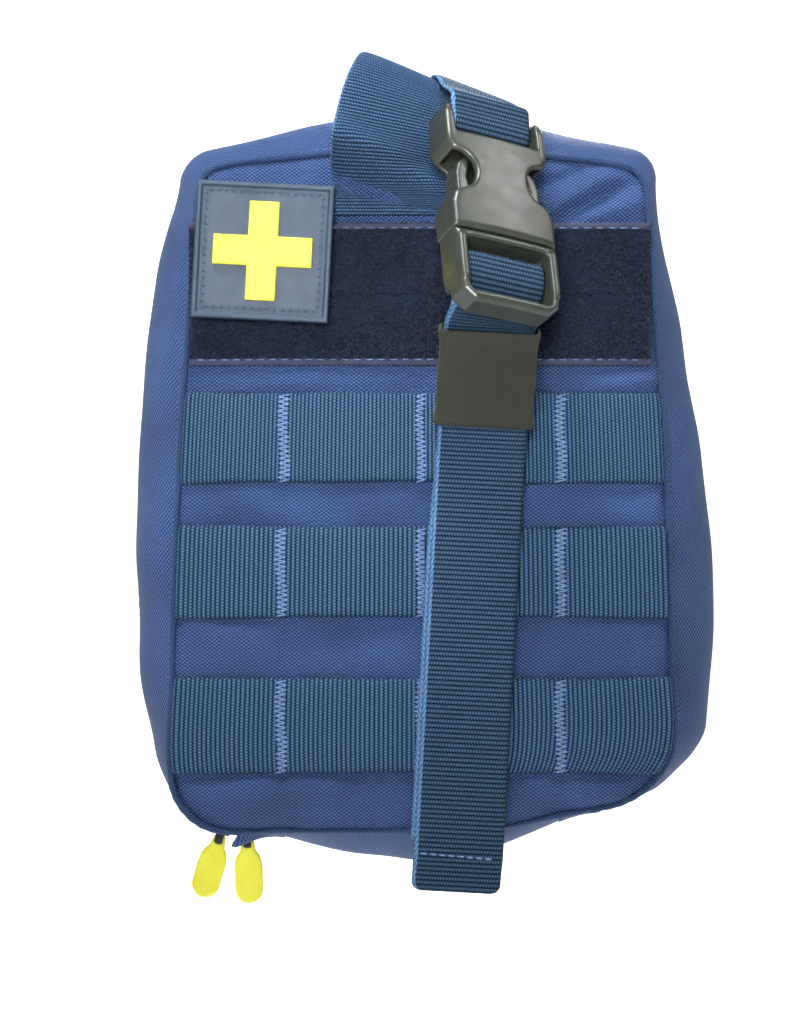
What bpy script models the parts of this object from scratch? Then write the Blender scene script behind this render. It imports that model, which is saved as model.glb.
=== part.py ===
"""Rip-away medical pouch with a buckled retention strap, drawn in millimetres.

X points right, Y points back and Z up. The pouch hangs upright by its rear face,
which lies in the plane y = 0, and its front faces -Y.
"""

import math

import bmesh
import bpy
from mathutils import Matrix, Vector

MM = 0.001
GAP = 0.3
WEBBING = 25.0
WEBBING_THICK = 1.4

# Depth planes, measured forward from the rear face.
PLATFORM_STRAP = 0.8
PLATFORM_ROWS = 2.65
PLATFORM_PANEL = 4.95
PLATFORM_LOOP = 7.3
BACK_HOOK = 9.2
BACK_PANEL = 11.3
REAR_WALL_START = 13.0
REAR_WALL_END = 33.6
REAR_TAPE = (34.0, 36.7)
REAR_COIL = 37.9
ZIP_PLANE = 39.0
FRONT_COIL = 40.1
FRONT_TAPE = (41.3, 44.0)
FRONT_WALL_START = 44.4
FRONT_WALL_END = 65.4
FRONT_PANEL = 67.0
FRONT_FACE = 68.0

# Outlines: half widths at the top and bottom, side bow, top, crown, bottom, corner radii.
SEAM_OUTLINE = dict(top_half=61.0, low_half=68.5, bow=1.5, top=88.5, crown=4.0, bottom=-93.0,
                    top_radius=8.0, low_radius=16.0)
ZIP_OUTLINE = dict(top_half=66.5, low_half=76.5, bow=8.5, top=95.5, crown=10.5, bottom=-95.5,
                   top_radius=9.0, low_radius=27.0)
# The lower right corner is drawn up: by how much, from where across, and between which heights.
DRAW_UP = 11.5
DRAW_START_X, DRAW_SPAN_X = 12.0, 56.0
DRAW_START_Z, DRAW_SPAN_Z = -45.0, 48.0
HINGE_HALF = 45.5
HINGE_SAG = 8.5
HINGE_AXIS_Z = -104.4
WALL_START = 46.0
WALL_THICK = 1.6
PANEL_SHRINK = 0.985
PIPING_RADIUS = 1.3

# Front layout.
ROW_HEIGHTS = {"upper": 14.1, "middle": -22.5, "lower": -64.5}
ROW_HALF = 67.0
LOOP_HALF = 64.5
LOOP_TOP, LOOP_SEAM, LOOP_BOTTOM = 73.0, 53.2, 34.0

# The buckle's own frame: u across, w outward, v up.
BUCKLE_CENTRE = (18.6, 92.0, 73.0)
BUCKLE_YAW, BUCKLE_PITCH, BUCKLE_ROLL = 26.0, 29.0, 9.5
SOCKET_LOW, SOCKET_TOP = -10.4, 28.5
SOCKET_HALF_THICK = 5.8
CAVITY_HALF, CAVITY_HALF_THICK = 13.1, 3.9
SLOT_HALF = 12.5
PRONG_PIVOT = (7.3, -9.0)
PRONG_THICK = 7.0
PLUG_THICK = 10.0

# The retention strap leans a little and comes forward to meet the buckle.
STRAP_FOOT = (9.2, -109.3)
STRAP_HEAD = (16.8, 30.0)
LAYER_PITCH = 1.8
# Height and depth of the strap's rear layer, from its sewn foot to under the buckle.
STRAP_RISE = [(-96, 71.9), (-8, 71.9), (5, 74.4), (24, 82.95), (42, 91.05)]
KEEPER_CENTRE_Z = 30.0
KEEPER_HALF = 12.5
KEEPER_OUTER, KEEPER_BORE = (26.4, 6.2), (24.9, 4.1)
STRAP_WIDTH = 24.0
STRAP_THICK = 1.2
# The top strap's middle (x, depth, height), from the wall it is sewn to as far as the buckle.
TOP_STRAP = [(13.0, 46.8, 109.8), (13.2, 52, 110.0), (13.6, 57.5, 110.6), (14.2, 64, 110.2), (15.2, 70.5, 108.2),
             (16.6, 76.5, 105.4)]

PATCH_CENTRE = (-43.4, 64.7)
PATCH_SIZE = 37.4
PATCH_TILT = -3.0
CROSS_ARM, CROSS_REACH = 4.1, 13.5

NAVY = (0.055, 0.095, 0.22)
WEBBING_BLUE = (0.030, 0.060, 0.110)
LOOP_BLUE = (0.016, 0.024, 0.045)
BLACK = (0.020, 0.021, 0.019)
OLIVE_BLACK = (0.055, 0.060, 0.050)
SLATE = (0.115, 0.165, 0.235)
YELLOW = (0.85, 0.82, 0.10)


def clear_scene():
    for obj in list(bpy.data.objects):
        bpy.data.objects.remove(obj, do_unlink=True)


def material(name, colour, roughness, metallic=0.0):
    mat = bpy.data.materials.get(name) or bpy.data.materials.new(name)
    mat.use_nodes = True
    shader = mat.node_tree.nodes["Principled BSDF"]
    shader.inputs["Base Color"].default_value = (*colour, 1.0)
    shader.inputs["Roughness"].default_value = roughness
    shader.inputs["Metallic"].default_value = metallic
    return mat


def fabric():
    return material("navy_fabric", NAVY, 0.8)


def webbing():
    return material("webbing", WEBBING_BLUE, 0.75)


def loop_pile():
    return material("loop_pile", LOOP_BLUE, 0.95)


def buckle_plastic():
    return material("buckle_plastic", OLIVE_BLACK, 0.4)


def at(x, depth, z):
    """A world point from its depth in front of the rear face."""
    return Vector((x, -depth, z))


def add_object(name, data, mat):
    obj = bpy.data.objects.new(name, data)
    bpy.context.collection.objects.link(obj)
    obj.data.materials.append(mat)
    return obj


def mesh_object(name, bm, mat):
    mesh = bpy.data.meshes.new(name)
    bmesh.ops.recalc_face_normals(bm, faces=bm.faces)
    bm.to_mesh(mesh)
    bm.free()
    return add_object(name, mesh, mat)


def sheet(name, rows, thickness, mat):
    """One sheet through rows of points, given a thickness about its middle."""
    columns = len(rows[0]) - 1
    lines = len(rows) - 1
    bm = bmesh.new()
    bmesh.ops.create_grid(bm, x_segments=columns, y_segments=lines, size=1.0)
    for vert in bm.verts:
        column = round((vert.co.x + 1.0) / 2.0 * columns)
        line = round((vert.co.y + 1.0) / 2.0 * lines)
        vert.co = Vector(rows[line][column]) * MM
    obj = mesh_object(name, bm, mat)
    shell = obj.modifiers.new("thickness", "SOLIDIFY")
    shell.thickness = thickness * MM
    shell.offset = 0.0
    shell.use_even_offset = True
    return obj


def strip(name, path, across, width, mat, thickness=WEBBING_THICK):
    """A webbing strip along a path; across gives its width direction at each point."""
    rows = []
    for side in (-0.5, 0.5):
        rows.append([point + direction * width * side for point, direction in zip(path, across)])
    return sheet(name, rows, thickness, mat)


def flat_strip(name, x_range, z, height, depth, mat, thickness=WEBBING_THICK, bulge=0.0, steps=1):
    """A level strip on a face, pushed forward between its stitched ends."""
    low, high = x_range
    path = []
    for step in range(steps + 1):
        share = step / steps
        x = low + (high - low) * share
        path.append(at(x, depth + bulge * math.sin(math.pi * share), z))
    return strip(name, path, [Vector((0, 0, 1))] * len(path), height, mat, thickness)


def arc(centre, radius, start, end, steps):
    points = []
    for step in range(steps + 1):
        angle = math.radians(start + (end - start) * step / steps)
        points.append((centre[0] + radius * math.cos(angle), centre[1] + radius * math.sin(angle)))
    return points


def side_points(shape, steps=6):
    """The bowed left side, from the low corner up to the top one, without its ends."""
    low_z = shape["bottom"] + shape["low_radius"]
    top_z = shape["top"] - shape["top_radius"]
    points = []
    for step in range(1, steps):
        share = step / steps
        half = shape["low_half"] + (shape["top_half"] - shape["low_half"]) * share
        half += shape["bow"] * 4.0 * share * (1.0 - share)
        points.append((-half, low_z + (top_z - low_z) * share))
    return points


def left_half(shape):
    """Outline from the bottom run up the left side to the middle of the top."""
    low = (-shape["low_half"] + shape["low_radius"], shape["bottom"] + shape["low_radius"])
    top = (-shape["top_half"] + shape["top_radius"], shape["top"] - shape["top_radius"])
    points = [(-WALL_START, shape["bottom"])]
    points += arc(low, shape["low_radius"], 262, 180, 5)
    points += side_points(shape)
    points += arc(top, shape["top_radius"], 180, 95, 5)
    for share in (0.3, 0.65):
        x = top[0] * (1.0 - share)
        points.append((x, shape["top"] + shape["crown"] * (1.0 - (1.0 - share) ** 2)))
    points.append((0.0, shape["top"] + shape["crown"]))
    return points


def drawn_up(x, z):
    """A height, raised towards the lower right corner."""
    across = min(max((x - DRAW_START_X) / DRAW_SPAN_X, 0.0), 1.0) ** 1.3
    down = min(max((DRAW_START_Z - z) / DRAW_SPAN_Z, 0.0), 1.0)
    return z + DRAW_UP * across * down * down * (3.0 - 2.0 * down)


def wall_outline(shape, grow=0.0):
    """The open outline from the hinge's left end, over the top, to its right end."""
    left = left_half(shape)
    points = left + [(-x, drawn_up(-x, z)) for x, z in reversed(left[:-1])]
    if not grow:
        return points
    middle_z = (shape["top"] + shape["bottom"]) / 2.0
    moved = []
    for x, z in points:
        away = Vector((x, z - middle_z)).normalized() * grow
        moved.append((x + away.x, z + away.y))
    return moved


def between(first, second, share):
    return [(a[0] + (b[0] - a[0]) * share, a[1] + (b[1] - a[1]) * share) for a, b in zip(first, second)]


def wall(name, levels, thickness, mat):
    """A U-shaped wall through outlines, each given with its depth."""
    rows = [[at(x, depth, z) for x, z in outline] for depth, outline in levels]
    return sheet(name, rows, thickness, mat)


def plate(name, outline, depth, thickness, mat):
    """A flat panel with the given outline, standing upright at a depth."""
    curve = bpy.data.curves.new(name, "CURVE")
    curve.dimensions = "2D"
    curve.fill_mode = "BOTH"
    curve.extrude = thickness / 2.0 * MM
    curve.resolution_u = 1
    spline = curve.splines.new("POLY")
    spline.points.add(len(outline) - 1)
    for point, (x, z) in zip(spline.points, outline):
        point.co = (x * MM, z * MM, 0.0, 1.0)
    spline.use_cyclic_u = True
    obj = add_object(name, curve, mat)
    obj.matrix_world = Matrix.Translation(at(0, depth, 0) * MM) @ Matrix.Rotation(math.pi / 2, 4, "X")
    return obj


def slab(name, outline, thickness, mat, frame):
    """A flat solid that can be cut: its outline lies in the frame's X and Z axes."""
    bm = bmesh.new()
    bmesh.ops.create_circle(bm, cap_ends=True, segments=len(outline), radius=1.0)
    bm.verts.ensure_lookup_table()
    for vert, (x, z) in zip(bm.verts, outline):
        vert.co = Vector((x, 0.0, z)) * MM
    obj = mesh_object(name, bm, mat)
    obj.matrix_world = frame
    shell = obj.modifiers.new("thickness", "SOLIDIFY")
    shell.thickness = thickness * MM
    shell.offset = 0.0
    return obj


def rounded_rectangle(centre, size, radius, tilt=0.0, steps=3):
    half_x, half_z = size[0] / 2.0 - radius, size[1] / 2.0 - radius
    corners = [(half_x, half_z, 0), (-half_x, half_z, 90), (-half_x, -half_z, 180), (half_x, -half_z, 270)]
    turn = Matrix.Rotation(math.radians(tilt), 2)
    points = []
    for x, z, start in corners:
        for px, pz in arc((x, z), radius, start, start + 90, steps):
            moved = turn @ Vector((px, pz))
            points.append((centre[0] + moved.x, centre[1] + moved.y))
    return points


def tube(name, points, radius, mat, closed=False):
    curve = bpy.data.curves.new(name, "CURVE")
    curve.dimensions = "3D"
    curve.bevel_depth = radius * MM
    curve.bevel_resolution = 1
    curve.use_fill_caps = True
    curve.resolution_u = 1
    spline = curve.splines.new("POLY")
    spline.points.add(len(points) - 1)
    for target, point in zip(spline.points, points):
        target.co = (*(point * MM), 1.0)
    spline.use_cyclic_u = closed
    return add_object(name, curve, mat)


def box(name, centre, size, mat, frame=None, bevel=0.0):
    bm = bmesh.new()
    bmesh.ops.create_cube(bm, size=1.0)
    bmesh.ops.scale(bm, vec=Vector(size) * MM, verts=bm.verts)
    bmesh.ops.translate(bm, vec=Vector(centre) * MM, verts=bm.verts)
    obj = mesh_object(name, bm, mat)
    if frame is not None:
        obj.matrix_world = frame
    if bevel:
        edge = obj.modifiers.new("edges", "BEVEL")
        edge.width = bevel * MM
        edge.segments = 2
    return obj


def disc(name, centre, radius, length, axis_turn, mat, segments=24, frame=None):
    bm = bmesh.new()
    bmesh.ops.create_cone(bm, cap_ends=True, segments=segments, radius1=radius * MM,
                          radius2=radius * MM, depth=length * MM,
                          matrix=Matrix.Translation(Vector(centre) * MM) @ axis_turn)
    obj = mesh_object(name, bm, mat)
    if frame is not None:
        obj.matrix_world = frame
    return obj


def combine(target, tool, operation):
    """Cut or join a helper, which stays hidden."""
    tool.hide_render = True
    tool.display_type = "WIRE"
    modifier = target.modifiers.new(operation.lower(), "BOOLEAN")
    modifier.operation = operation
    modifier.solver = "EXACT"
    modifier.object = tool


def cut(target, tool):
    combine(target, tool, "DIFFERENCE")


def join(target, tool):
    combine(target, tool, "UNION")


FACE_TURN = Matrix.Rotation(math.pi / 2, 4, "X")
SIDE_TURN = Matrix.Rotation(math.pi / 2, 4, "Y")


def buckle_frame():
    """The buckle's axes in the world: u to the right, -w is its local Y, v is up."""
    turn = (Matrix.Rotation(math.radians(BUCKLE_ROLL), 4, "Y")
            @ Matrix.Rotation(math.radians(BUCKLE_YAW), 4, "Z")
            @ Matrix.Rotation(math.radians(-BUCKLE_PITCH), 4, "X"))
    x, depth, z = BUCKLE_CENTRE
    return Matrix.Translation(at(x, depth, z) * MM) @ turn


def on_buckle(u, w, v):
    """A world point, in millimetres, from the buckle's own axes."""
    return buckle_frame() @ (Vector((u, -w, v)) * MM) / MM


def buckle_across():
    return (buckle_frame().to_3x3() @ Vector((1, 0, 0))).normalized()


def strap_lean():
    """Direction across the leaning retention strap."""
    rise = Vector((STRAP_HEAD[0] - STRAP_FOOT[0], STRAP_HEAD[1] - STRAP_FOOT[1])).normalized()
    return Vector((rise.y, 0.0, -rise.x))


def strap_x(z):
    share = (z - STRAP_FOOT[1]) / (STRAP_HEAD[1] - STRAP_FOOT[1])
    return STRAP_FOOT[0] + (STRAP_HEAD[0] - STRAP_FOOT[0]) * share


def make_platform():
    """The panel that stays on the host: it carries the straps and a loop field."""
    parts = [plate("platform_panel", rounded_rectangle((0, 0), (128, 172), 10), PLATFORM_PANEL, 2.5, fabric())]
    parts.append(plate("platform_loop_field", rounded_rectangle((0, 0), (116, 150), 6),
                       PLATFORM_LOOP, 1.6, loop_pile()))
    for label, z in (("upper", 50.8), ("middle", 0.0), ("lower", -50.8)):
        parts.append(flat_strip(f"platform_webbing_{label}", (-60, 60), z, WEBBING, PLATFORM_ROWS, webbing()))
    for side, label in ((-1, "left"), (1, "right")):
        parts.append(disc(f"snap_stud_{label}", at(side * MOUNT_X, 3.1, SNAP_HEIGHT), 5.0, 0.6, FACE_TURN,
                          snap_metal()))
    return parts


MOUNT_TOP, MOUNT_BOTTOM = 82.0, -86.0
MOUNT_X = 38.1
SNAP_HEIGHT = MOUNT_BOTTOM + 12.0


def snap_metal():
    return material("snap_metal", BLACK, 0.35, 0.8)


def make_mounting_strap(side, label):
    """A stiffened strap that threads through a host's webbing and snaps shut."""
    x = side * MOUNT_X
    strap = plate(f"mounting_strap_{label}",
                  rounded_rectangle((x, (MOUNT_TOP + MOUNT_BOTTOM) / 2), (24, MOUNT_TOP - MOUNT_BOTTOM), 4),
                  PLATFORM_STRAP, 1.6, webbing())
    cap = disc(f"snap_cap_{label}", at(x, 2.2, SNAP_HEIGHT), 6.5, 0.6, FACE_TURN, snap_metal())
    return [strap, cap]


def panel_outline():
    """The closed outline of the front and back panels, just inside their seam."""
    line = wall_outline(SEAM_OUTLINE)
    for x in (30.0, DRAW_START_X):
        line.append((x, drawn_up(x, SEAM_OUTLINE["bottom"])))
    return [(x * PANEL_SHRINK, z * PANEL_SHRINK) for x, z in line]


def make_pouch_back():
    seam = SEAM_OUTLINE
    seam_line = wall_outline(seam)
    zip_line = wall_outline(ZIP_OUTLINE)
    parts = [plate("back_panel", panel_outline(), BACK_PANEL, 2.0, fabric())]
    parts.append(plate("back_hook_field", rounded_rectangle((0, 0), (116, 150), 6), BACK_HOOK, 1.6,
                       material("hook_tape", BLACK, 0.9)))
    depths = (REAR_WALL_START, 21.0, REAR_WALL_END)
    shares = (0.0, 0.7, 1.0)
    levels = [(depth, between(seam_line, zip_line, share)) for depth, share in zip(depths, shares)]
    parts.append(wall("rear_side_wall", levels, WALL_THICK, fabric()))
    parts.append(wall("zip_tape_rear", [(REAR_TAPE[0], zip_line), (REAR_TAPE[1], zip_line)], 1.0,
                      material("zip_tape", BLACK, 0.85)))
    parts.append(tube("zip_coil_rear", [at(x, REAR_COIL, z) for x, z in zip_line], 0.9,
                      material("zip_coil", BLACK, 0.45)))
    back_rim = [at(x, BACK_PANEL, z) for x, z in wall_outline(seam, 2.4)]
    parts.append(tube("back_piping", back_rim, PIPING_RADIUS, fabric()))
    parts.append(hinge_half("bottom_panel_rear", (REAR_WALL_START, 21.0, ZIP_PLANE - GAP)))
    for label, z in (("upper", 45.0), ("lower", -20.0)):
        parts.append(flat_strip(f"organiser_band_{label}", (-52, 52), z, 38, 13.4, material("elastic", BLACK, 0.85)))
    return parts


def hinge_half(name, depths):
    """Half of the bottom fabric hinge, level at the zip and rising to its seam."""
    rows = []
    for depth in depths:
        reach = (abs(depth - ZIP_PLANE) / (ZIP_PLANE - REAR_WALL_START)) ** 2
        level = ZIP_OUTLINE["bottom"] + (SEAM_OUTLINE["bottom"] - ZIP_OUTLINE["bottom"]) * reach
        row = []
        for share in (-1.0, -0.75, -0.4, 0.0, 0.4, 0.75, 1.0):
            sag = HINGE_SAG * (1.0 - share ** 2) * (1.0 - reach)
            x = HINGE_HALF * share
            row.append(at(x, depth, drawn_up(x, level) - sag))
        rows.append(row)
    return sheet(name, rows, WALL_THICK, fabric())


def make_cover():
    seam_line = wall_outline(SEAM_OUTLINE)
    zip_line = wall_outline(ZIP_OUTLINE)
    parts = [plate("front_panel", panel_outline(), FRONT_PANEL, 2.0, fabric())]
    levels = []
    for depth, share in ((FRONT_WALL_START, 1.0), (57.0, 0.7), (FRONT_WALL_END, 0.0)):
        levels.append((depth, between(seam_line, zip_line, share)))
    parts.append(wall("front_side_wall", levels, WALL_THICK, fabric()))
    parts.append(wall("zip_tape_front", [(FRONT_TAPE[0], zip_line), (FRONT_TAPE[1], zip_line)], 1.0,
                      material("zip_tape", BLACK, 0.85)))
    parts.append(tube("zip_coil_front", [at(x, FRONT_COIL, z) for x, z in zip_line], 0.9,
                      material("zip_coil", BLACK, 0.45)))
    front_rim = [at(x, FRONT_PANEL - 0.3, z) for x, z in wall_outline(SEAM_OUTLINE, 2.4)]
    parts.append(tube("front_piping", front_rim, PIPING_RADIUS, fabric()))
    parts.append(hinge_half("bottom_panel_front", (ZIP_PLANE + GAP, 57.0, FRONT_WALL_END)))
    parts.append(flat_strip("mesh_pocket", (-52, 52), -35.0, 95, 65.0, material("mesh", BLACK, 0.8), 0.8))
    return parts + make_front_rows()


def make_front_rows():
    parts = []
    face = FRONT_FACE + GAP + 0.9
    for label, low, high in (("upper", LOOP_SEAM + 0.2, LOOP_TOP), ("lower", LOOP_BOTTOM, LOOP_SEAM - 0.2)):
        middle = (low + high) / 2
        parts.append(flat_strip(f"loop_field_{label}", (-LOOP_HALF, LOOP_HALF - 2), middle, high - low,
                                face, loop_pile(), 1.8))
    for label, z in ROW_HEIGHTS.items():
        parts.append(flat_strip(f"front_webbing_{label}", (-ROW_HALF, ROW_HALF), z, WEBBING,
                                FRONT_FACE + GAP + WEBBING_THICK / 2, webbing(), bulge=0.8, steps=8))
    return parts


# The handle's left and right edges (x, depth, height), from its front seam to its rear one.
HANDLE_LEFT = [(-25, 69.2, 75), (-25, 69.4, 84), (-25, 73.5, 89.5), (-24.5, 79.5, 94), (-23, 82, 102),
               (-20, 80, 112), (-17, 74, 118.5), (-16, 66, 119), (-15.5, 58, 114.5), (-15, 51.5, 109.7),
               (-15, 46.5, 107.9)]
HANDLE_RIGHT = [(25, 69.2, 75), (25, 69.3, 79), (25, 69.6, 83), (25, 70.2, 87.5), (25, 70.2, 91),
                (25, 68.8, 95), (25, 66.2, 98.8), (25.5, 62, 101.8), (26, 57, 103.8), (26, 52, 105.4),
                (26, 46.5, 107.2)]


def make_handle():
    rows = []
    for share in (0.0, 0.5, 1.0):
        rows.append([at(*Vector(left).lerp(Vector(right), share)) for left, right in zip(HANDLE_LEFT, HANDLE_RIGHT)])
    return sheet("carry_handle", rows, 1.6, webbing())


def make_top_strap():
    """Sewn to the top wall, over the handle, round the socket's bar and back."""
    world = [at(*point) for point in TOP_STRAP]
    loop = [(3.2, 33), (2.9, 28.5), (2.7, 24.8), (1.7, 22.9), (-0.8, 22.3), (-2.7, 24.2), (-2.8, 28.5), (-0.4, 31.5)]
    path = world + [on_buckle(0, w, v) for w, v in loop]
    straight = Vector((1, 0, 0))
    on_handle = Vector((0.94, 0.06, -0.34))
    turned = buckle_across()
    across = [straight, straight.lerp(on_handle, 0.4), straight.lerp(on_handle, 0.8), on_handle, on_handle,
              on_handle.lerp(turned, 0.5)]
    across = [direction.normalized() for direction in across] + [turned] * len(loop)
    return strip("retention_strap_upper", path, across, STRAP_WIDTH, webbing(), STRAP_THICK)


def socket_outline():
    """Half outline of the socket, ears at the top, a waist and a flared mouth."""
    right = [(15.2, SOCKET_LOW), (15.3, -3.0), (14.4, 0.2), (11.2, 2.7), (9.4, 5.8), (9.4, 9.1), (10.8, 12.2),
             (13.8, 14.1), (15.2, 16.7), (15.2, 21.5), (14.8, 26.5), (14.2, SOCKET_TOP), (SLOT_HALF, SOCKET_TOP)]
    return right + [(SLOT_HALF, 27.8)] + [(-SLOT_HALF, 27.8)] + [(-u, v) for u, v in reversed(right)]


def make_socket():
    frame = buckle_frame()
    socket = slab("buckle_socket", socket_outline(), SOCKET_HALF_THICK * 2, buckle_plastic(), frame)
    helper = buckle_plastic()
    cavity = box("socket_cavity", (0, 0, 2.0), (CAVITY_HALF * 2, CAVITY_HALF_THICK * 2, 29.0), helper, frame)
    slot = box("socket_slot", (0, 0, 21.9), (SLOT_HALF * 2, 30, 5.0), helper, frame)
    above = box("socket_bar_front", (0, -4.2, 26.4), (SLOT_HALF * 2, 5.2, 6.0), helper, frame)
    behind = box("socket_bar_rear", (0, 4.2, 26.4), (SLOT_HALF * 2, 5.2, 6.0), helper, frame)
    for tool in (cavity, slot, above, behind):
        cut(socket, tool)
    return socket


def make_plug():
    """The plug's open frame, its webbing bars and the middle guide."""
    frame = buckle_frame()
    helper = buckle_plastic()
    outline = [(15.2, SOCKET_LOW - GAP), (15.2, -23.0), (14.2, -29.0), (11.0, -31.9)]
    outline += [(-u, v) for u, v in reversed(outline)]
    plug = slab("buckle_plug", outline, PLUG_THICK, helper, frame)
    window = box("plug_window", (0, 0, -21.2), (SLOT_HALF * 2, 30, 16.4), helper, frame)
    cut(plug, window)
    cut(plug, box("plug_rear_relief", (0, 4.2, -30.2), (SLOT_HALF * 2 + 8, 5.4, 8.0), helper, frame))
    join(plug, box("plug_bar", (0, 0, -18.8), (SLOT_HALF * 2 + 2, 2.4, 3.6), helper, frame))
    join(plug, box("plug_guide", (0, 0, -0.5), (6.0, 3.0, 24.0), helper, frame))
    join(plug, box("plug_shelf", (0, 0, -11.6), (25.0, 7.0, 3.2), helper, frame))
    return plug


def make_prong(side, label):
    """A springy arm with the pad that shows in the socket's side window."""
    outline = [(6.0, -9.4), (8.8, -9.4), (11.0, -1.6), (12.6, 0.2), (12.6, 7.4), (11.6, 10.8), (9.4, 13.2),
               (8.1, 12.0), (9.3, 6.4), (7.7, -1.2)]
    if side < 0:
        outline = [(-u, v) for u, v in reversed(outline)]
    return slab(f"buckle_prong_{label}", outline, PRONG_THICK, buckle_plastic(), buckle_frame())


def make_lower_strap():
    """One webbing, sewn at the foot, led up round the plug's bar and down again."""
    heights = STRAP_RISE
    rising = [at(strap_x(z), depth, z) for z, depth in heights]
    loop = [(-5.4, -26.5), (-4.9, -24.4), (-3.6, -21.4), (-2.4, -18.6), (-1.8, -16.1), (0.0, -15.6), (2.0, -16.1),
            (2.4, -19.8), (1.5, -22.6), (-0.9, -25.2), (-3.2, -27.2)]
    turning = [on_buckle(0, w, v) for w, v in loop]
    falling = [at(strap_x(z), depth + LAYER_PITCH, z) for z, depth in reversed(heights)]
    tail = [at(strap_x(STRAP_FOOT[1]), falling[-1].y * -1, STRAP_FOOT[1])]
    low, high = strap_lean(), buckle_across()
    across = [low] * len(rising) + [high] * len(turning) + [low] * (len(falling) + 1)
    path = rising + turning + falling + tail
    return strip("retention_strap_lower", path, across, STRAP_WIDTH, webbing(), STRAP_THICK)


def keeper_frame():
    """The keeper follows the strap where it runs forward to the buckle."""
    lean = strap_lean()
    (low_z, low_depth), (high_z, high_depth) = STRAP_RISE[2], STRAP_RISE[-1]
    rise = (at(strap_x(high_z), high_depth, high_z) - at(strap_x(low_z), low_depth, low_z)).normalized()
    out = rise.cross(lean).normalized()
    share = (KEEPER_CENTRE_Z - low_z) / (high_z - low_z)
    depth = low_depth + (high_depth - low_depth) * share + LAYER_PITCH / 2
    centre = at(strap_x(KEEPER_CENTRE_Z), depth, KEEPER_CENTRE_Z) * MM
    turn = Matrix((lean, out, lean.cross(out))).transposed()
    return Matrix.Translation(centre) @ turn.to_4x4()


def make_keeper():
    frame = keeper_frame()
    elastic = material("keeper_elastic", BLACK, 0.85)
    keeper = box("elastic_keeper", (0, 0, 0), (*KEEPER_OUTER, KEEPER_HALF * 2), elastic, frame)
    cut(keeper, box("keeper_bore", (0, 0, 0), (*KEEPER_BORE, KEEPER_HALF * 2 + 4), elastic, frame))
    return keeper


def make_patch():
    face = FRONT_FACE + GAP + 1.8
    outline = rounded_rectangle(PATCH_CENTRE, (PATCH_SIZE, PATCH_SIZE), 1.2, PATCH_TILT)
    backing = rounded_rectangle(PATCH_CENTRE, (PATCH_SIZE - 2, PATCH_SIZE - 2), 1.0, PATCH_TILT)
    parts = [plate("patch_hook_backing", backing, face + GAP + 0.5, 1.0, material("hook_tape", BLACK, 0.9))]
    parts.append(plate("patch_base", outline, face + GAP * 2 + 1.0 + 1.0, 2.0, material("patch_pvc", SLATE, 0.55)))
    arm, reach = CROSS_ARM, CROSS_REACH
    cross = [(arm, arm), (arm, reach), (-arm, reach), (-arm, arm), (-reach, arm), (-reach, -arm),
             (-arm, -arm), (-arm, -reach), (arm, -reach), (arm, -arm), (reach, -arm), (reach, arm)]
    turn = Matrix.Rotation(math.radians(PATCH_TILT), 2)
    placed = [turn @ Vector(point) + Vector(PATCH_CENTRE) for point in cross]
    parts.append(plate("patch_cross", placed, face + GAP * 3 + 3.0 + 0.5, 1.0, material("patch_yellow", YELLOW, 0.5)))
    return parts


# Sliders: place along the corner (degrees), and the tilt at which each pull hangs.
CORNER_CENTRE = (-ZIP_OUTLINE["low_half"] + ZIP_OUTLINE["low_radius"],
                 ZIP_OUTLINE["bottom"] + ZIP_OUTLINE["low_radius"])
SLIDERS = {"lower": (270.0, 2.0), "upper": (255.2, -9.0)}
SLIDER_SIZE = (5.4, 8.0, 1.6)
SLIDER_RADIUS = ZIP_OUTLINE["low_radius"] + 2.1
SLIDER_DEPTH = ZIP_PLANE + 4.6
PIN_DROP = 2.9
PIN_RADIUS = SLIDER_RADIUS + PIN_DROP
PULL_LENGTH = 17.0
PULL_HALF, PULL_NECK_HALF, PULL_THICK = 4.1, 3.1, 3.6
EYE_RADIUS, EYE_HOLE, PIN_THICK = 1.8, 1.1, 0.6


def corner_point(angle, radius):
    turn = math.radians(angle)
    return at(CORNER_CENTRE[0] + radius * math.cos(turn), SLIDER_DEPTH, CORNER_CENTRE[1] + radius * math.sin(turn))


def make_slider(label, angle):
    """A slider body on the coils, with two lugs and the pin that holds the pull."""
    frame = Matrix.Translation(corner_point(angle, SLIDER_RADIUS) * MM)
    frame = frame @ Matrix.Rotation(math.radians(270 - angle), 4, "Y")
    metal = material("slider_metal", BLACK, 0.4, 0.6)
    slider = box(f"zip_slider_{label}", (0, 0, 0), SLIDER_SIZE, metal, frame)
    for side in (-1, 1):
        join(slider, box(f"lug_{label}_{side}", (0, side * 3.0, -2.3), (2.6, 1.2, 4.2), metal, frame))
    join(slider, disc(f"pin_{label}", (0, 0, -PIN_DROP), PIN_THICK, 6.0, FACE_TURN, metal, 12, frame))
    return slider


def make_pull(label, angle, tilt):
    """A moulded pull, hung by its eye from the slider's pin."""
    pin = corner_point(angle, PIN_RADIUS)
    outline = arc((0, 0), EYE_RADIUS, 0, 180, 6)
    outline += [(-PULL_NECK_HALF, -6.0)]
    outline += arc((0, -PULL_LENGTH + PULL_HALF), PULL_HALF, 180, 360, 8)
    outline += [(PULL_NECK_HALF, -6.0)]
    frame = Matrix.Translation(pin * MM) @ Matrix.Rotation(math.radians(-tilt), 4, "Y")
    yellow = material("pull_yellow", YELLOW, 0.45)
    pull = slab(f"zip_pull_{label}", outline, PULL_THICK, yellow, frame)
    cut(pull, disc(f"pull_eye_{label}", (0, 0, 0), EYE_HOLE, 12.0, FACE_TURN, yellow, 12, frame))
    return pull


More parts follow.
